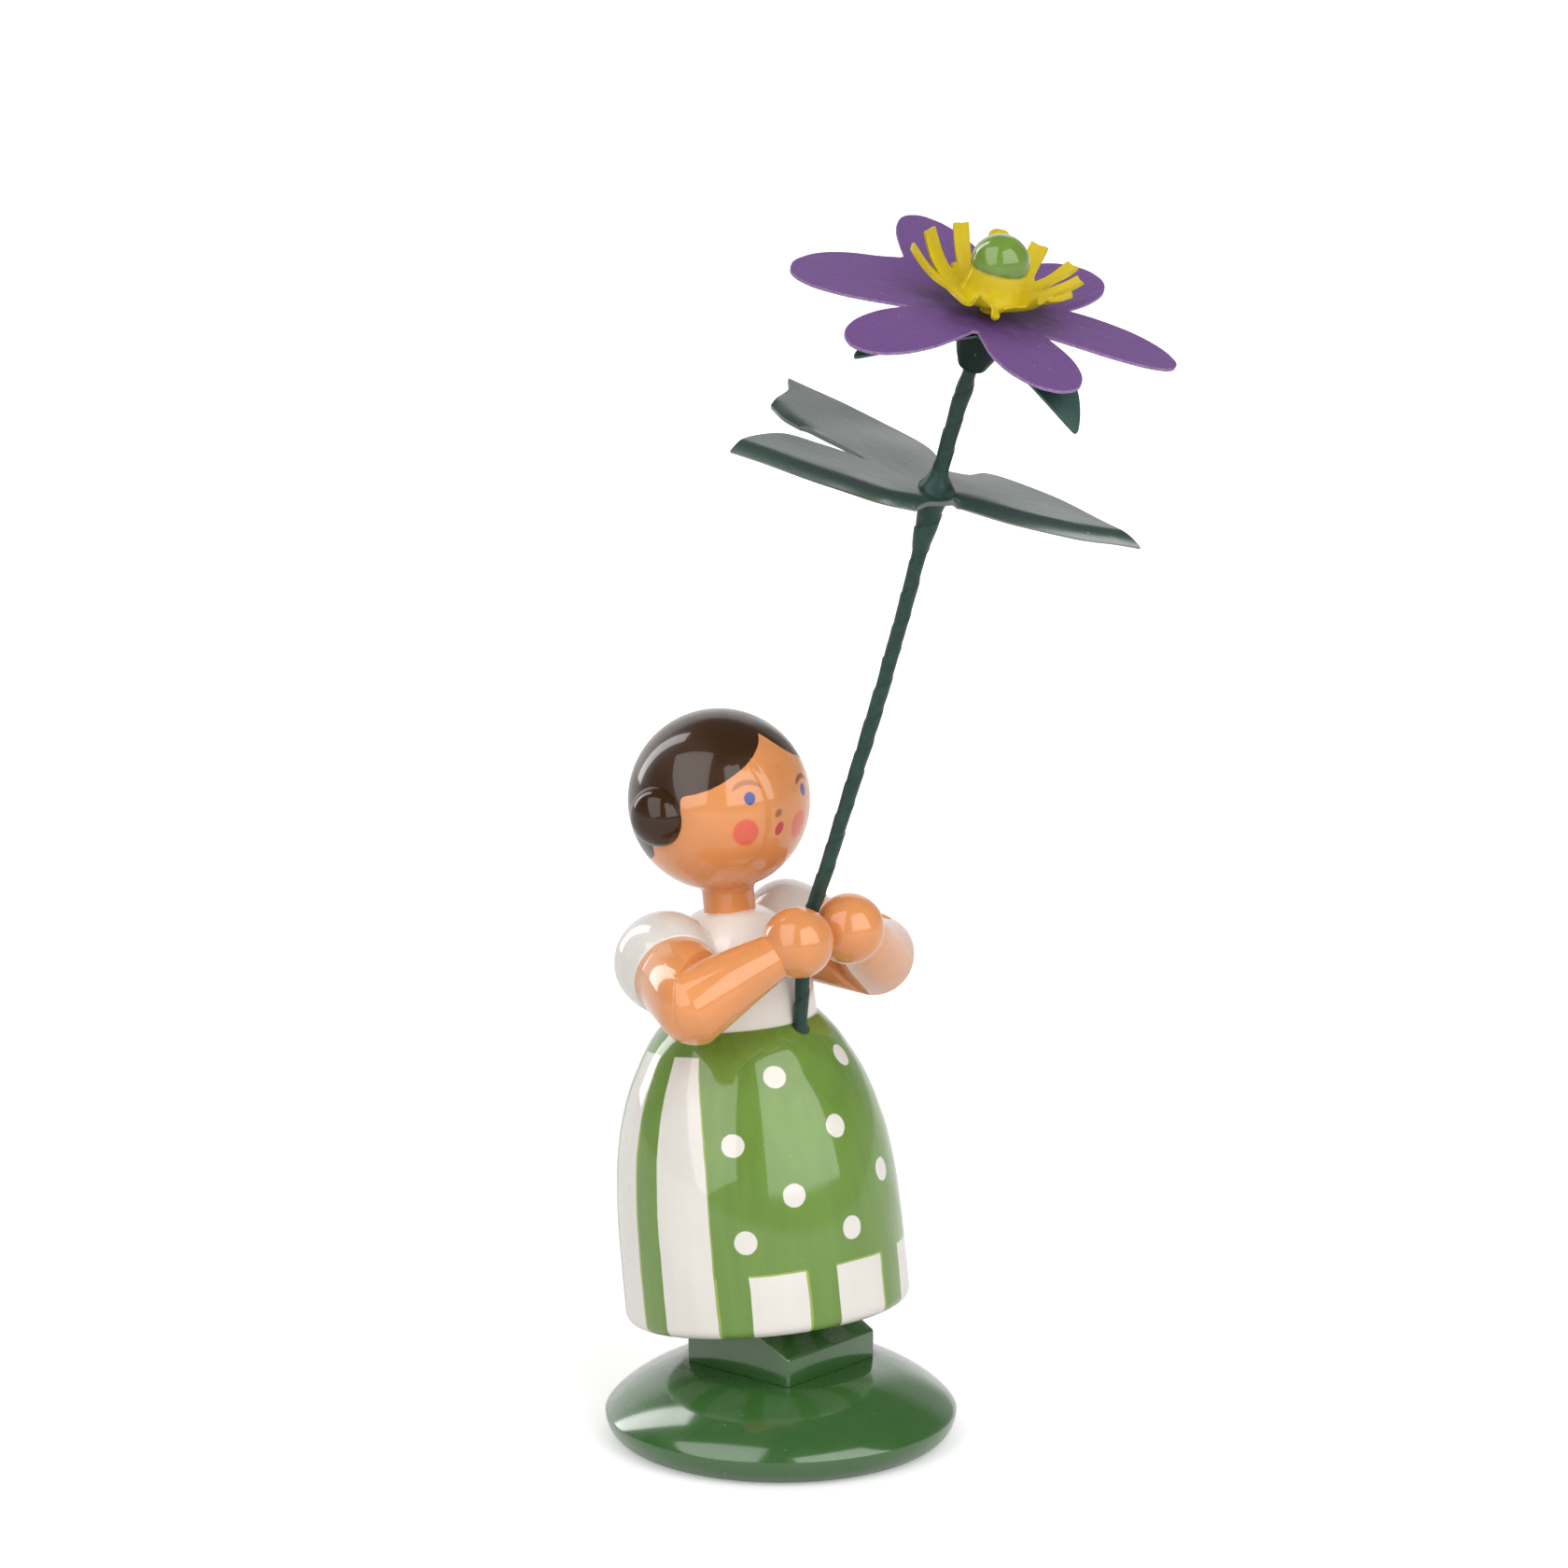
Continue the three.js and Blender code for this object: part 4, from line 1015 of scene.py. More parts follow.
def walked(line, step):
    """A line as evenly spaced (distance, point, direction) steps."""
    along = [0.0]
    for a, b in zip(line, line[1:]):
        along.append(along[-1] + (b - a).length)
    total = along[-1]
    count = round(total / step)
    steps = []
    k = 0
    for i in range(count + 1):
        at = total * i / count
        while k < len(line) - 2 and along[k + 1] < at:
            k += 1
        share = (at - along[k]) / (along[k + 1] - along[k])
        ahead = line[min(k + 2, len(line) - 1)] - line[max(k - 1, 0)]
        steps.append((at, line[k].lerp(line[k + 1], share), ahead.normalized()))
    return steps


def wound_tube(steps, radius_at, sides):
    """A tube along (distance, point, direction) steps, with a lapped and creased surface."""
    bm = bmesh.new()
    run = bm.verts.layers.float_vector.new("run")
    ring = bmesh.ops.create_circle(bm, segments=sides, radius=1.0, cap_ends=True)["verts"]
    turn = upright(steps[0][1], steps[0][2]).to_quaternion()
    frames = []
    for _, point, direction in steps:
        turn = (turn @ Vector(UP)).rotation_difference(direction) @ turn
        frames.append(Matrix.Translation(point) @ turn.to_matrix().to_4x4())
    around = [math.atan2(v.co.y, v.co.x) / math.tau for v in ring]

    def settle(verts, i):
        at = steps[i][0]
        for v, share in zip(verts, around):
            x, y = math.cos(share * math.tau), math.sin(share * math.tau)
            lap = (at / TAPE_PITCH - share) % 1.0
            lump = noise.noise(Vector((at * TAPE_LUMPS_PER_MM, x, y))) * TAPE_LUMP
            r = radius_at(at) * (1 + TAPE_LAP * (lap - 0.5) + lump)
            v.co = frames[i] @ Vector((r * x, r * y, 0))
            v[run] = (at, share, 0)

    settle(ring, 0)
    edges = bm.edges[:]
    order = list(ring)
    for i in range(1, len(steps)):
        made = bmesh.ops.extrude_edge_only(bm, edges=edges)["geom"]
        fresh = set(of_kind(bmesh.types.BMVert, made))
        edges = of_kind(bmesh.types.BMEdge, made)
        order = [next(e.other_vert(v) for e in v.link_edges if e.other_vert(v) in fresh) for v in order]
        settle(order, i)
    bmesh.ops.contextual_create(bm, geom=edges)
    bmesh.ops.recalc_face_normals(bm, faces=bm.faces)
    uv = bm.loops.layers.uv.new("lie")
    for face in bm.faces:
        shares = [loop.vert[run][1] for loop in face.loops]
        over = max(shares) - min(shares) > 0.5
        for loop in face.loops:
            at, share, _ = loop.vert[run]
            loop[uv].uv = (at, share + 1 if over and share < 0 else share)
    bm.verts.layers.float_vector.remove(run)
    return bm


def wide_at(line, share):
    """Width of an outline at a share of its length, between the given (share, width) places."""
    share = min(max(share, line[0][0]), line[-1][0])
    for (a, wide_a), (b, wide_b) in zip(line, line[1:]):
        if share <= b:
            return wide_a + (wide_b - wide_a) * (share - a) / (b - a)
    return line[-1][1]


def off_axis(lobe, angle):
    """How far a direction is turned from a lobe's own."""
    return (angle - math.radians(lobe.turn) + math.pi) % math.tau - math.pi


def lobe_place(lobe, line, angle, r):
    """Where a point lies on a lobe: share of the reach, distance aside, and half width there."""
    off = angle - math.radians(lobe.turn)
    share = r * math.cos(off) / lobe.reach
    return share, r * math.sin(off), lobe.width / 2 * wide_at(line, share)


def lobe_reach(lobe, line, angle):
    """How far a lobe reaches from the centre in a direction."""
    if abs(off_axis(lobe, angle)) > LOBE_SPAN:
        return 0.0

    def inside(r):
        share, aside, half = lobe_place(lobe, line, angle, r)
        return 0 <= share <= 1 and abs(aside) <= half

    step = 0.1
    r = lobe.reach * 1.08
    while r > 0 and not inside(r):
        r -= step
    if r <= 0:
        return 0.0
    low, high = r, r + step
    for _ in range(8):
        middle = (low + high) / 2
        low, high = (middle, high) if inside(middle) else (low, middle)
    return low


def ringed(steps):
    """A ring of faces about +Z, from radius one to radius two, for a sheet to be drawn from."""
    bm = bmesh.new()
    bm.verts.layers.float.new("edge")
    return revolved(bm, [(1 + share, 0, 0) for share in RING_SHARES], steps)


def ring_places(bm, steps):
    """Each vertex of a ring with its share of the way out, which it keeps, its angle and its step."""
    edge = bm.verts.layers.float["edge"]
    for v in bm.verts:
        angle = math.atan2(v.co.y, v.co.x)
        v[edge] = share = math.hypot(v.co.x, v.co.y) - 1
        yield v, share, angle, round(angle / math.tau * steps) % steps


def cut_sheet(lobes, outline, hub, height_at, steps):
    """One cut sheet: a ring of faces spun about its hole, drawn out to the lobes and bent."""
    line = [tuple(p) for p in flowing(outline, 6)]
    bm = ringed(steps)
    rims = []
    for i in range(steps):
        angle = math.tau * i / steps
        rims.append(max(hub, *(lobe_reach(lobe, line, angle) for lobe in lobes)))
    rims = [(rims[i - 1] + 4 * rims[i] + rims[(i + 1) % steps]) / 6 for i in range(steps)]
    for v, share, angle, i in ring_places(bm, steps):
        r = SHEET_HOLE + (rims[i] - SHEET_HOLE) * share
        whole = z = 0.0
        for lobe in lobes:
            if abs(off_axis(lobe, angle)) < BLEND_SPAN:
                along, aside, half = lobe_place(lobe, line, angle, r)
                weight = math.exp(-2.5 * min((aside / half) ** 2, 200) - 9 * max(along - 1, 0))
                whole += weight
                z += weight * height_at(lobe, along, aside, half)
        v.co = (r * math.cos(angle), r * math.sin(angle), z / (whole or 1.0))
    lay_along(bm, [lobe.turn for lobe in lobes])
    return bm


def lay_along(bm, turns):
    """Lays the picture of a sheet's fibres along its lobes, which point out at the given turns."""
    uv = bm.loops.layers.uv.new("lie")
    for face in bm.faces:
        centre = face.calc_center_median()
        angle = math.atan2(centre.y, centre.x)
        turn = max((math.radians(one) for one in turns), key=lambda one: math.cos(angle - one))
        for loop in face.loops:
            x, y, _ = loop.vert.co
            lengthwise = x * math.cos(turn) + y * math.sin(turn)
            crosswise = y * math.cos(turn) - x * math.sin(turn)
            loop[uv].uv = (lengthwise / FIBRE_MM, crosswise / FIBRE_MM)


def apart(point, start, end):
    """Distance of a point from a stretch between two points."""
    _, share = geometry.intersect_point_line(point, start, end)
    return (point - start.lerp(end, min(max(share, 0.0), 1.0))).length


def edged_sheet(runs, hole):
    """One flat sheet that fans out from its hole to a cut edge, with some runs of it curled down."""
    rim = []
    bent = []
    for curl, points in runs:
        line = flowing(points, EDGE_STEPS)
        rim += line[:-1]
        if curl:
            bent += [(curl, *ends) for ends in zip(line, line[1:])]
    bm = ringed(len(rim))
    for v, share, _, i in ring_places(bm, len(rim)):
        here = (rim[i].normalized() * hole).lerp(rim[i], share)
        drop = max(curl * max(0.0, 1 - apart(here, a, b) / LEAF_CURL_W) ** 2 for curl, a, b in bent)
        wave = LEAF_WAVE * noise.noise(here.to_3d() * LEAF_WAVES_PER_MM) * min(1.0, here.length / 4)
        v.co = (here.x, here.y, wave - drop)
    return bm


def bent_lobe(arch, fold=0.0, flat=0.0, power=2):
    """Height of a lobe: lifted to its end beyond a flat part, rolled aside and arched across."""

    def height_at(lobe, along, aside, half):
        widest = lobe.width / 2
        free = max(0.0, (lobe.reach * along - flat) / (lobe.reach - flat))
        side = min(abs(aside), widest * 1.3)
        sag = arch * (side**2 - 0.5 * half**2) / widest**2
        roll = lobe.roll * max(along, 0) * max(-1.3, min(1.3, aside / widest))
        crease = fold * min(side / half, 1.2) * min(1.0, free * 3)
        return lobe.lift * free**power + roll - sag + crease

    return height_at


class FIGURINE_OT_base(bpy.types.Operator):
    """Turned base disc and the square block on it."""

    bl_idname = "figurine.base"
    bl_label = "Base and block"

    def disc(self, s):
        """The turned disc, domed up to its flat seat."""
        seat_r = s["block_side"] / math.sqrt(2) + SEAT_RIM
        dome = []
        for i in range(1, DOME_STEPS + 1):
            a = math.pi / 2 * i / DOME_STEPS
            out = seat_r + (s["base_r"] - seat_r) * max(math.cos(a), 0) ** BASE_DOME
            dome.append((out, BASE_EDGE + (s["base_h"] - BASE_EDGE) * math.sin(a) ** BASE_DOME))
        edge = arc(s["base_r"] - BASE_EDGE, BASE_EDGE, BASE_EDGE, -90, 0, 14)
        return spun([(0, 0), *edge, *dome, (0, s["base_h"])], STEPS["base"])

    def block(self, s):
        """The block, with its sloped top, the bevel above its front and eased edges."""
        half = s["block_side"] / 2
        foot = s["base_h"] - SEAT_LAP
        front_top = s["base_h"] + BLOCK_FRONT
        slope = math.tan(LEAN)
        bevel = math.tan(BLOCK_BEVEL)

        def top(y):
            return s["base_h"] + BLOCK_H + SEAT_LAP - (y - BODY_AT.y) * slope

        ridge = (top(0) - front_top - half * bevel) / (bevel + slope)
        outline = [(-half, foot), (half, foot), (half, top(half)), (ridge, top(ridge)), (-half, front_top)]
        bm = bmesh.new()
        face = bm.faces.new([bm.verts.new((-half, y, z)) for y, z in outline])
        grown = bmesh.ops.extrude_face_region(bm, geom=[face])["geom"]
        bmesh.ops.translate(bm, vec=(2 * half, 0, 0), verts=of_kind(bmesh.types.BMVert, grown))
        bmesh.ops.recalc_face_normals(bm, faces=bm.faces)
        bevelled(bm, bm.edges[:], BLOCK_EASE, 4)
        return bm

    def execute(self, context):
        s = figure()
        paint = plain_paint(paints()["base"])
        finish = lacquer("dark_green_lacquer", paint, (0, 0, 0), 0, 0.26, SOFT_LACQUER)
        keep(self.disc(s), Matrix(), "base_disc", finish)
        keep(self.block(s), Matrix.Rotation(BLOCK_TURN, 4, "Z"), "plinth_block", finish)
        return {"FINISHED"}


class FIGURINE_OT_skirt(bpy.types.Operator):
    """Turned skirt with stripes and a dotted apron."""

    bl_idname = "figurine.skirt"
    bl_label = "Skirt"

    def execute(self, context):
        s = figure()
        wide = s["skirt_r"] - s["waist_r"]
        side = [(s["waist_r"] + wide * out, s["skirt_h"] * share) for share, out in SKIRT_LINE]
        edge = arc(s["skirt_r"] - SKIRT_EDGE, SKIRT_EDGE, SKIRT_EDGE, -90, 0, 8)
        swell = flowing([edge[-1], *side], 8)
        top = [(s["waist_r"] - WAIST_RIM, s["skirt_h"] + WAIST_RISE), (0, s["skirt_h"])]
        bm = spun([(0, 0), *edge[:-1], *swell, *top], STEPS["skirt"])
        keep(bm, BODY, "skirt", lacquer("skirt_lacquer", skirt_paint))
        return {"FINISHED"}


class FIGURINE_OT_blouse(bpy.types.Operator):
    """Turned white blouse."""

    bl_idname = "figurine.blouse"
    bl_label = "Blouse"

    def execute(self, context):
        s = figure()
        # Painted light: the blouse's white is 1.12 times the shared white, to offset the shade that the
        # arms and head cast on it.
        paint = plain_paint(shade(paints()["white"], 1.12))
        foot = s["skirt_h"] + GLUE
        line = [(s["waist_r"] * wide, foot + s["blouse_h"] * share) for share, wide in BLOUSE_LINE]
        under = foot - BLOUSE_LAP
        bm = spun([(0, under), (s["waist_r"], under), *flowing(line, 8), (0, line[-1][1])], STEPS["blouse"])
        keep(bm, BODY, "blouse", lacquer("blouse_lacquer", paint))
        return {"FINISHED"}


class FIGURINE_OT_head(bpy.types.Operator):
    """Head with its neck, painted hair and face, and the two hair buns."""

    bl_idname = "figurine.head"
    bl_label = "Head and buns"

    def execute(self, context):
        s = figure()
        z = head_height()
        foot = s["skirt_h"] + GLUE + s["blouse_h"] - NECK_LAP
        chin = math.degrees(math.asin(NECK_R / s["head_r"]))
        ball = arc(0, z, s["head_r"], chin - 90, 90, 72)
        neck = eased([(0, foot), (NECK_R, foot), (*ball[0], CHIN_EASE), tuple(ball[4])])
        bm = spun([*neck[:-1], *ball[4:]], STEPS["head"])
        keep(bm, BODY, "head", lacquer("face_lacquer", face_paint))

        hair = lacquer("hair_lacquer", plain_paint(paints()["hair"]), shine=HAIR_LACQUER)
        flat = (BUN_RISE + BUN_SINK) / s["bun_r"]
        for name, side in SIDES.items():
            out = Vector((side * math.cos(BUN_DROP), 0, math.sin(BUN_DROP)))
            half_ball = arc(0, 0, s["bun_r"], -90, 90, 48)
            bun = spun([(r, h * flat) for r, h in half_ball], STEPS["bun"])
            at = Vector((0, 0, z)) + out * (s["head_r"] - BUN_SINK)
            keep(bun, BODY @ upright(at, out), "hair_bun_" + name, hair)
        return {"FINISHED"}


class FIGURINE_OT_arms(bpy.types.Operator):
    """Puffed sleeves, upper arms and forearms with ball hands."""

    bl_idname = "figurine.arms"
    bl_label = "Arms"

    def mitred(self, bm, elbow, normal):
        """Cuts an arm at the elbow, closes the cut and eases its edge."""
        whole = bm.verts[:] + bm.edges[:] + bm.faces[:]
        cut = bmesh.ops.bisect_plane(
            bm, geom=whole, dist=MERGE, plane_co=elbow, plane_no=normal, clear_outer=True
        )
        rim = of_kind(bmesh.types.BMEdge, cut["geom_cut"])
        bmesh.ops.holes_fill(bm, edges=rim, sides=0)
        bevelled(bm, rim, MITRE_EASE, 2)
        bmesh.ops.recalc_face_normals(bm, faces=bm.faces)
        return bm

    def puff(self, s):
        """Profile of the puffed sleeve, round at the body and open at the cuff."""
        cuff_turn = math.degrees(math.asin(SLEEVE_CUFF / SLEEVE_FRONT))
        back = [(s["sleeve_r"] * p.x, SLEEVE_BACK * p.y) for p in arc(0, 0, 1, -90, 0, 28)]
        front = [(s["sleeve_r"] * p.x, SLEEVE_FRONT * p.y) for p in arc(0, 0, 1, 0, cuff_turn, 14)]
        edge = eased([front[-2], (*front[-1], CUFF_EASE), (front[-1][0] - 1, SLEEVE_CUFF)])
        return [*back, *front[1:-2], *edge, (0, SLEEVE_CUFF)]

    def execute(self, context):
        s = figure()
        # Painted shade: the sleeves' white is 0.93 of the shared white, which tones down how brightly the
        # lamps light them.
        white = lacquer("white_lacquer", plain_paint(shade(paints()["white"], 0.93)))
        skin = lacquer("skin_lacquer", plain_paint(paints()["skin"]))
        round_at = math.degrees(math.acos(ELBOW_R / ELBOW_ROUND))
        wrist_turn = math.degrees(math.acos(WRIST_R / s["hand_r"]))
        start = SLEEVE_CUFF - ARM_LAP
        cuff = [(0, start), (s["arm_r"] - ARM_TAPER, start), (s["arm_r"], SLEEVE_CUFF)]
        for name, side in SIDES.items():
            mirror = Matrix.Diagonal((side, 1, 1))
            shoulder = mirror @ SHOULDER
            elbow = mirror @ ELBOW
            hand = Vector((side * (s["hand_r"] + HAND_GAP / 2), HAND_Y, HAND_Z))
            upper = (elbow - shoulder).normalized()
            lower = (hand - elbow).normalized()
            mitre = (upper + lower).normalized()

            sleeve = spun(self.puff(s), STEPS["arm"])
            keep(sleeve, BODY @ upright(shoulder, upper), "sleeve_" + name, white)

            profile = [*cuff, *arc(0, (elbow - shoulder).length, ELBOW_ROUND, round_at, 90, 24)]
            arm = placed(spun(profile, STEPS["arm"]), upright(shoulder, upper))
            keep(self.mitred(arm, elbow, mitre), BODY, "upper_arm_" + name, skin)

            fist = arc(0, (hand - elbow).length, s["hand_r"], -wrist_turn, 90, 44)
            profile = [*arc(0, 0, ELBOW_ROUND, -90, -round_at, 24), *fist]
            arm = placed(spun(profile, STEPS["arm"]), upright(elbow, lower))
            keep(self.mitred(arm, elbow, -mitre), BODY, "forearm_" + name, skin)
        return {"FINISHED"}


class FIGURINE_OT_stem(bpy.types.Operator):
    """Taped stem, its binding below the leaf, and the hidden wire."""

    bl_idname = "figurine.stem"
    bl_label = "Stem"

    def execute(self, context):
        stem_r = context.scene.flower_sizes.stem_r * MM
        places = stem_points()
        steps = places["steps"]
        finish = tape_finish()
        tape_end = steps[-1][0] - (WIRE_TIP - CUP_FOOT) + TAPE_INTO_CUP
        taped = [step for step in steps if step[0] <= tape_end]
        tape = wound_tube(taped, lambda at: stem_r * wide_at(TAPE_BULGES, at / tape_end), STEPS["tape"])
        keep(tape, BODY, "stem_tape", finish)

        end = places["leaf_at"] + BINDING_PAST
        start = places["leaf_at"] - BINDING[-1][0] + BINDING_PAST
        line = [tuple(p) for p in flowing(BINDING, 6)]
        bound = [step for step in steps if start <= step[0] <= end]
        binding = wound_tube(bound, lambda at: wide_at(line, at - start), STEPS["binding"])
        keep(binding, BODY, "leaf_binding", finish)
        lines = drawn_finish("drawn_wire", *WIRE_LINES, 0.01, SATIN, 1.0)
        dress("stem_wire", lines)
        return {"FINISHED"}


class FIGURINE_OT_leaf(bpy.types.Operator):
    """Three-lobed leaf across the stem."""

    bl_idname = "figurine.leaf"
    bl_label = "Leaf"

    def execute(self, context):
        flower = sizes_of(context.scene.flower_sizes)
        face = paints()["leaf"]
        places = stem_points()
        _, point, axis = min(places["steps"], key=lambda step: abs(step[0] - places["leaf_at"]))
        finish = card("leaf_card", face, shade(face, 0.6), VARNISH, 0.36, thin=LEAF_VARNISH)
        sheet = edged_sheet(LEAF_EDGE, flower["stem_r"])
        lay_along(sheet, LEAF_TURNS)
        keep_sheet(sheet, BODY @ upright(point, axis), "leaf", finish, flower["leaf_t"])
        return {"FINISHED"}


class FIGURINE_OT_flower(bpy.types.Operator):
    """Cup, bracts, petals, stamen strips and bead of the flower."""

    bl_idname = "figurine.flower"
    bl_label = "Flower"

    def execute(self, context):
        flower = sizes_of(context.scene.flower_sizes)
        colours = paints()
        places = stem_points()
        top, axis = places["top"], places["flower_axis"]
        where = {"place": BODY @ top, "turn": FLOWER_TILT - LEAN}

        def at(height):
            return BODY @ upright(top + axis * height, axis)

        r, h = flower["cup_r"], flower["cup_h"]
        line = [(CUP_FOOT_R, 0), *((r * wide, h * share) for share, wide in CUP_LINE)]
        line.append((r * CUP_MOUTH, h + CUP_PAST))
        cup = spun([(0, 0), *flowing(line, 6), (0, h + CUP_PAST)], STEPS["cup"])
        place = BODY @ upright(top + places["cup_axis"] * CUP_FOOT, places["cup_axis"])
        # Painted shade: the cup is the leaf green darkened to about a third, and slightly bluer, for the
        # shade it sits in under the petals.
        paint = plain_paint(shade(colours["leaf"], 0.3, 0.38, 0.42))
        finish = lacquer("cup_paint", paint, gloss=0.34, shine=DULL, **where)
        keep(cup, place, "flower_cup", finish)

        green = shade(colours["leaf"], 1, 1.2, 1.4)
        finish = card("bract_card", green, green, SATIN, 0.42, **where)
        bend = bent_lobe(BRACT_ARCH, power=3)
        sheet = cut_sheet(BRACTS, BRACT_LINE, BRACT_HUB_R, bend, STEPS["bracts"])
        keep_sheet(sheet, at(BRACT_AT), "bracts", finish, flower["bract_t"])

        finish = card("petal_card", colours["petal"], colours["petal_edge"], MATT, 0.62, stain_and_shade=0.6, **where)
        sheet = cut_sheet(PETALS, PETAL_LINE, flower["petal_hub"], bent_lobe(0.0), STEPS["petals"])
        keep_sheet(sheet, at(0), "petals", finish, flower["petal_t"])

        yellow = colours["strip"]
        finish = card("stamen_paper", yellow, shade(yellow, 0.8), MATT, 0.42, **where)
        bend = bent_lobe(0.0, STRIP_FOLD, STRIP_FLAT)
        sheet = cut_sheet(STRIPS + WEBS, STRIP_LINE, STAMEN_HUB_R, bend, STEPS["stamens"])
        keep_sheet(sheet, at(STAMEN_AT), "stamens", finish, flower["strip_t"])

        ball = arc(0, BEAD_H - flower["bead_r"], flower["bead_r"], -12, 90, 48)
        profile = [*BEAD_NECK, *flowing([*BEAD_FLARE, tuple(ball[0])], 6), *ball[1:]]
        finish = lacquer("bead_lacquer", bead_paint, gloss=0.2, **where)
        keep(spun(profile, STEPS["bead"]), at(BEAD_AT), "bead", finish)
        return {"FINISHED"}


class FIGURINE_OT_dowels(bpy.types.Operator):
    """Bare wood on the hidden dowels."""

    bl_idname = "figurine.dowels"
    bl_label = "Dowels"

    def execute(self, context):
        finish = drawn_finish("bare_beech", *WOOD_GRAIN, 0.03, MATT)
        for node in ("body_dowel", "shoulder_dowel_right", "shoulder_dowel_left"):
            dress(node, finish)
        return {"FINISHED"}


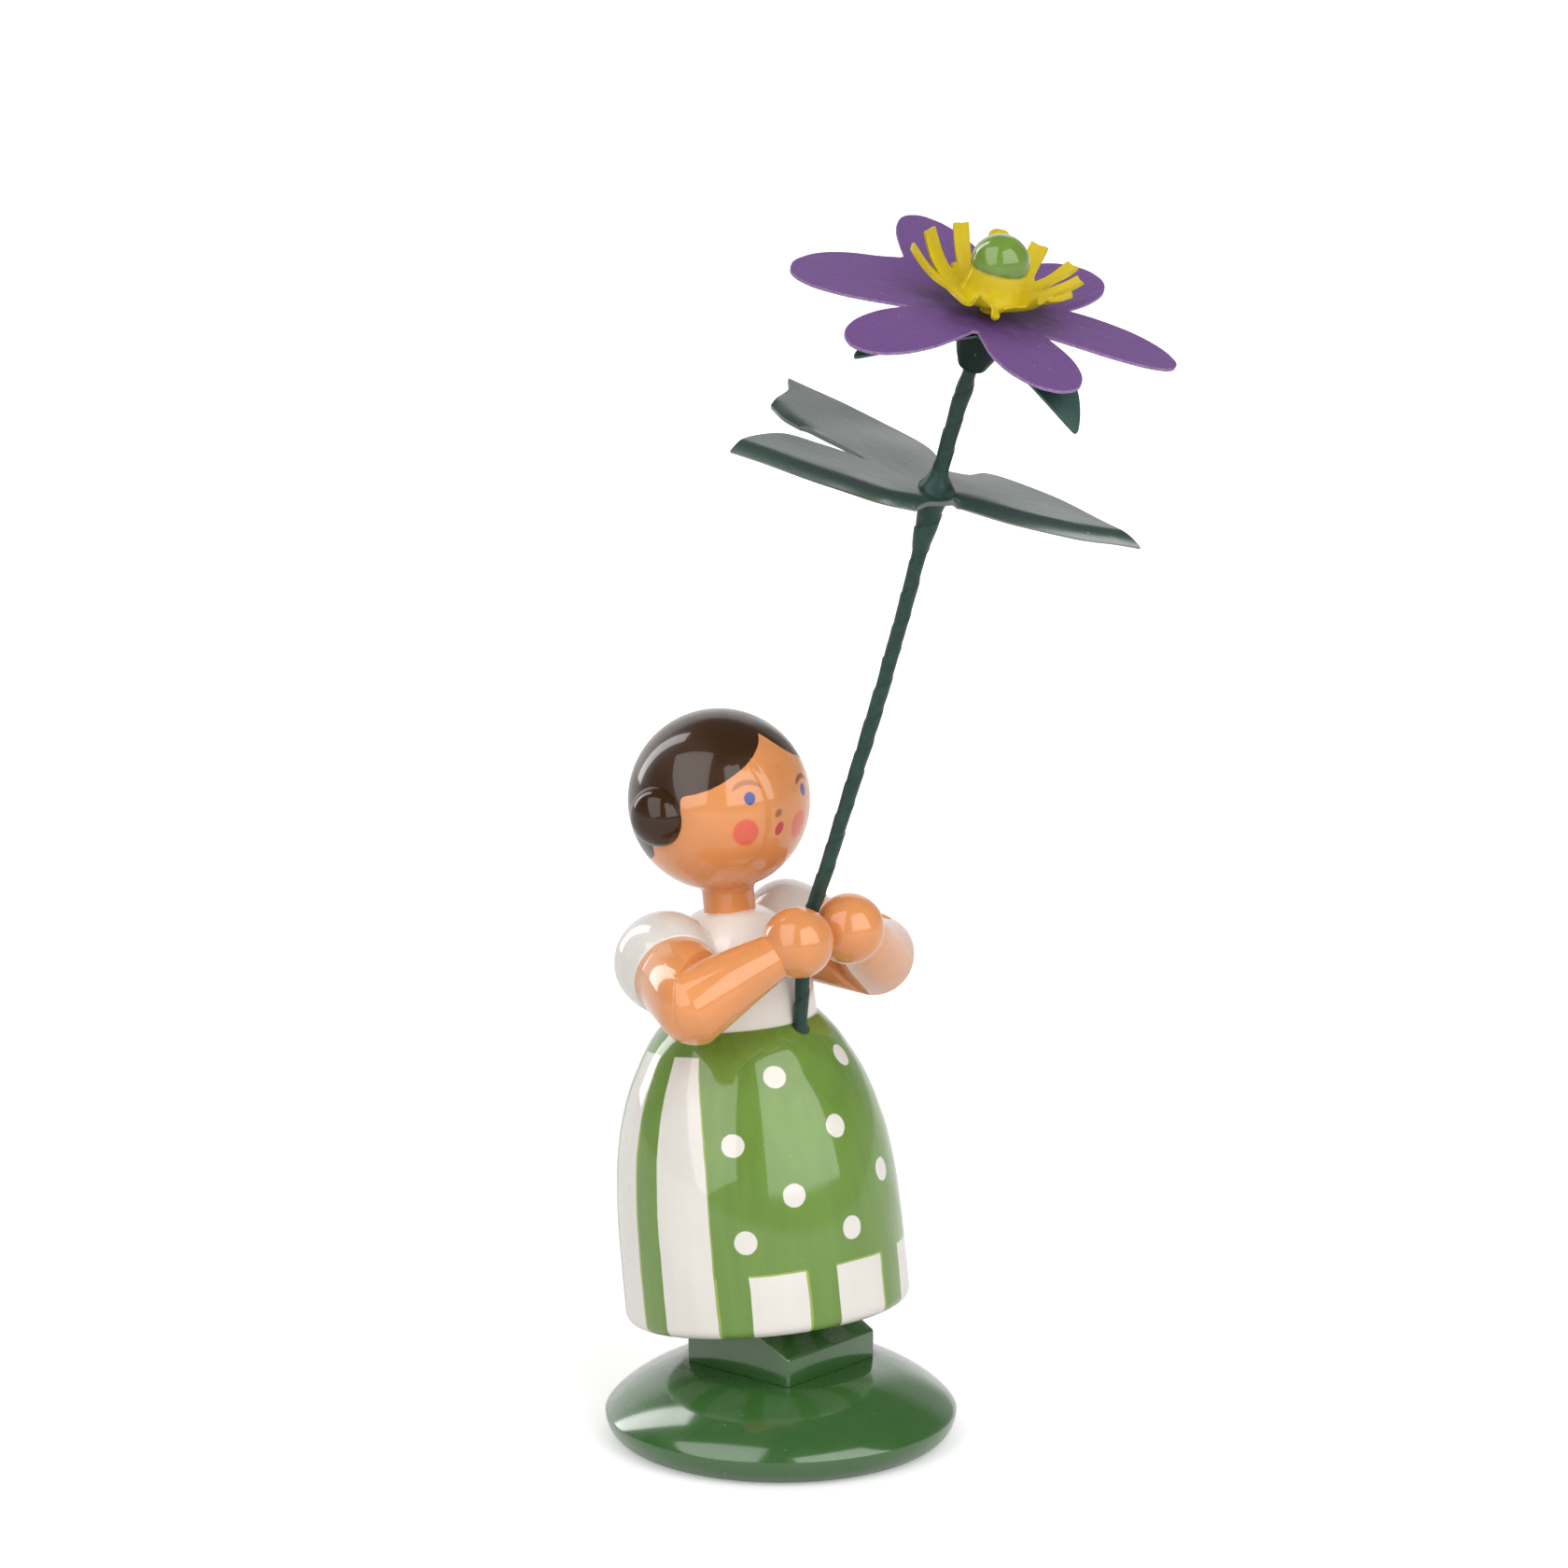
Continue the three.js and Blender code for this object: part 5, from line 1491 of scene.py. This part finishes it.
class FIGURINE_OT_stage(bpy.types.Operator):
    """Camera, floor, soft light and white surroundings."""

    bl_idname = "figurine.stage"
    bl_label = "Stage"

    def camera(self, scene):
        lens = bpy.data.cameras.new("camera")
        lens.sensor_width = 36
        lens.lens = CAMERA_LENS
        lens.clip_start = 0.01
        camera = bpy.data.objects.new("camera", lens)
        camera.location = CAMERA_AT
        camera.rotation_euler = (CAMERA_TO - CAMERA_AT).to_track_quat("-Z", "Y").to_euler()
        scene.collection.objects.link(camera)
        scene.camera = camera

    def floor(self, scene):
        bm = bmesh.new()
        bmesh.ops.create_grid(bm, x_segments=8, y_segments=8, size=6.0)
        mesh = bpy.data.meshes.new("floor")
        bm.to_mesh(mesh)
        bm.free()
        material, w = new_finish("floor_paper")
        tone = scene.stage_settings.floor
        diffuse = w.take("ShaderNodeBsdfDiffuse", {"Color": (tone, tone, tone * 0.99, 1)})
        path = w.results("ShaderNodeLightPath")
        seen = w.most(path["Is Glossy Ray"] * 0.25 + path["Is Camera Ray"], path["Is Transmission Ray"])
        off = w.vector("LENGTH", w.take("ShaderNodeTexCoord", output="Object"))
        glow = seen * w.ramp(off, 0.05, 0.6, 0.37, 0.85)
        lift = w.take("ShaderNodeEmission", {"Color": (1, 1, 1, 1), "Strength": glow})
        w.add("ShaderNodeOutputMaterial", {"Surface": w.take("ShaderNodeAddShader", {0: diffuse, 1: lift})})
        mesh.materials.append(material)
        floor = bpy.data.objects.new("floor", mesh)
        scene.collection.objects.link(floor)

    def ahead_and_right(self):
        """Level directions from the figure to the camera, and to the right of that."""
        view = CAMERA_AT - CAMERA_TO
        ahead = Vector((view.x, view.y, 0)).normalized()
        return ahead, Vector((-ahead.y, ahead.x, 0))

    def directions(self, aside, up):
        """The way to a box at an angle right of the camera and an angle up, and its own right and up."""
        a, e = math.radians(aside), math.radians(up)
        ahead, right = self.ahead_and_right()
        level = ahead * math.cos(a) + right * math.sin(a)
        way = level * math.cos(e) + Vector((0, 0, math.sin(e)))
        across = right * math.cos(a) - ahead * math.sin(a)
        return way, across, Vector((0, 0, math.cos(e))) - level * math.sin(e)

    def softbox(self, scene, name, aside, up, size):
        """A large lamp, which gloss doesn't show."""
        way = self.directions(aside, up)[0]
        lamp = bpy.data.lights.new("softbox_" + name, "AREA")
        lamp.shape = "RECTANGLE"
        lamp.size, lamp.size_y = size
        lamp.energy = getattr(scene.stage_settings, name)
        box = bpy.data.objects.new("softbox_" + name, lamp)
        box.location = LAMP_AIM + way * LAMP_AWAY
        box.rotation_euler = (-way).to_track_quat("-Z", "Y").to_euler()
        box.visible_glossy = False
        scene.collection.objects.link(box)

    def box_mask(self, w, way, box):
        """A soft mask of the directions in which gloss shows a softbox."""
        middle, across, upward = self.directions(box["aside"], box["up"])
        roll = math.radians(box["roll"])
        sides = {
            "wide": across * math.cos(roll) + upward * math.sin(roll),
            "high": upward * math.cos(roll) - across * math.sin(roll),
        }
        toward = w.vector("DOT_PRODUCT", way, tuple(middle))
        mask = w.math("GREATER_THAN", toward, 0.05)
        for key, side in sides.items():
            off = w.vector("DOT_PRODUCT", way, tuple(side)) / w.most(toward, 0.05)
            low, high = box[key]
            mask = mask * w.ramp(off, low - GLOSS_SOFT, low + GLOSS_SOFT)
            mask = mask * w.ramp(off, high - GLOSS_SOFT, high + GLOSS_SOFT, 1.0, 0.0)
        return mask

    def surroundings(self, scene):
        """Even light for the figure, and for the camera and gloss white paper and softboxes."""
        world = bpy.data.worlds.new("studio")
        world.use_nodes = True
        world.node_tree.nodes.clear()
        w = Wiring(world.node_tree)
        path = w.results("ShaderNodeLightPath")
        seen = w.most(path["Is Camera Ray"], path["Is Glossy Ray"], path["Is Transmission Ray"])
        way = w.take("ShaderNodeTexCoord", output="Generated")
        toward, aside = (w.vector("DOT_PRODUCT", way, tuple(one)) for one in self.ahead_and_right())
        height = w.axes(way)[2]
        paper = w.ramp(toward, -0.8, -0.58, 1.0, 0.0) * w.ramp(height, 0.58, 0.74, 1.0, 0.0)
        paper = paper * w.ramp(aside, 0.22, 0.4, 1.0, 0.4)
        boxes = [self.box_mask(w, way, box) * box["glow"] for box in GLOSS_BOXES]
        tone = w.most(paper, w.ramp(height, 0.0, 0.42, 0.37, 0.1), *boxes)
        fill, shown = (
            w.take("ShaderNodeBackground", {"Color": (1, 1, 1, 1), "Strength": strength})
            for strength in (scene.stage_settings.fill, tone)
        )
        both = w.take("ShaderNodeMixShader", {0: seen, 1: fill, 2: shown})
        w.add("ShaderNodeOutputWorld", {"Surface": both})
        scene.world = world

    def execute(self, context):
        scene = context.scene
        self.camera(scene)
        scene.view_settings.view_transform = "Standard"
        self.floor(scene)
        for name, lamp in LAMPS.items():
            self.softbox(scene, name, *lamp)
        self.surroundings(scene)
        return {"FINISHED"}


class FIGURINE_PT_pieces(bpy.types.Panel):
    """Lists the pieces in the order in which they are made."""

    bl_idname = "FIGURINE_PT_pieces"
    bl_label = "Figurine"
    bl_space_type = "VIEW_3D"
    bl_region_type = "UI"
    bl_category = "Figurine"

    def draw(self, context):
        for operator in OPERATORS:
            self.layout.operator(operator.bl_idname)


OPERATORS = (
    FIGURINE_OT_stage,
    FIGURINE_OT_base,
    FIGURINE_OT_skirt,
    FIGURINE_OT_blouse,
    FIGURINE_OT_head,
    FIGURINE_OT_arms,
    FIGURINE_OT_stem,
    FIGURINE_OT_leaf,
    FIGURINE_OT_flower,
    FIGURINE_OT_dowels,
)
GROUPS = {
    "figure_sizes": FigureSizes,
    "flower_sizes": FlowerSizes,
    "paint_colours": PaintColours,
    "stage_settings": StageSettings,
}


def register():
    for name, group in GROUPS.items():
        bpy.utils.register_class(group)
        setattr(bpy.types.Scene, name, PointerProperty(type=group))
    for item in (*OPERATORS, FIGURINE_PT_pieces):
        bpy.utils.register_class(item)


def unregister():
    for item in (FIGURINE_PT_pieces, *reversed(OPERATORS)):
        bpy.utils.unregister_class(item)
    for name, group in GROUPS.items():
        delattr(bpy.types.Scene, name)
        bpy.utils.unregister_class(group)


def main():
    register()
    for operator in OPERATORS:
        family, action = operator.bl_idname.split(".")
        getattr(getattr(bpy.ops, family), action)()


if __name__ == "__main__":
    main()
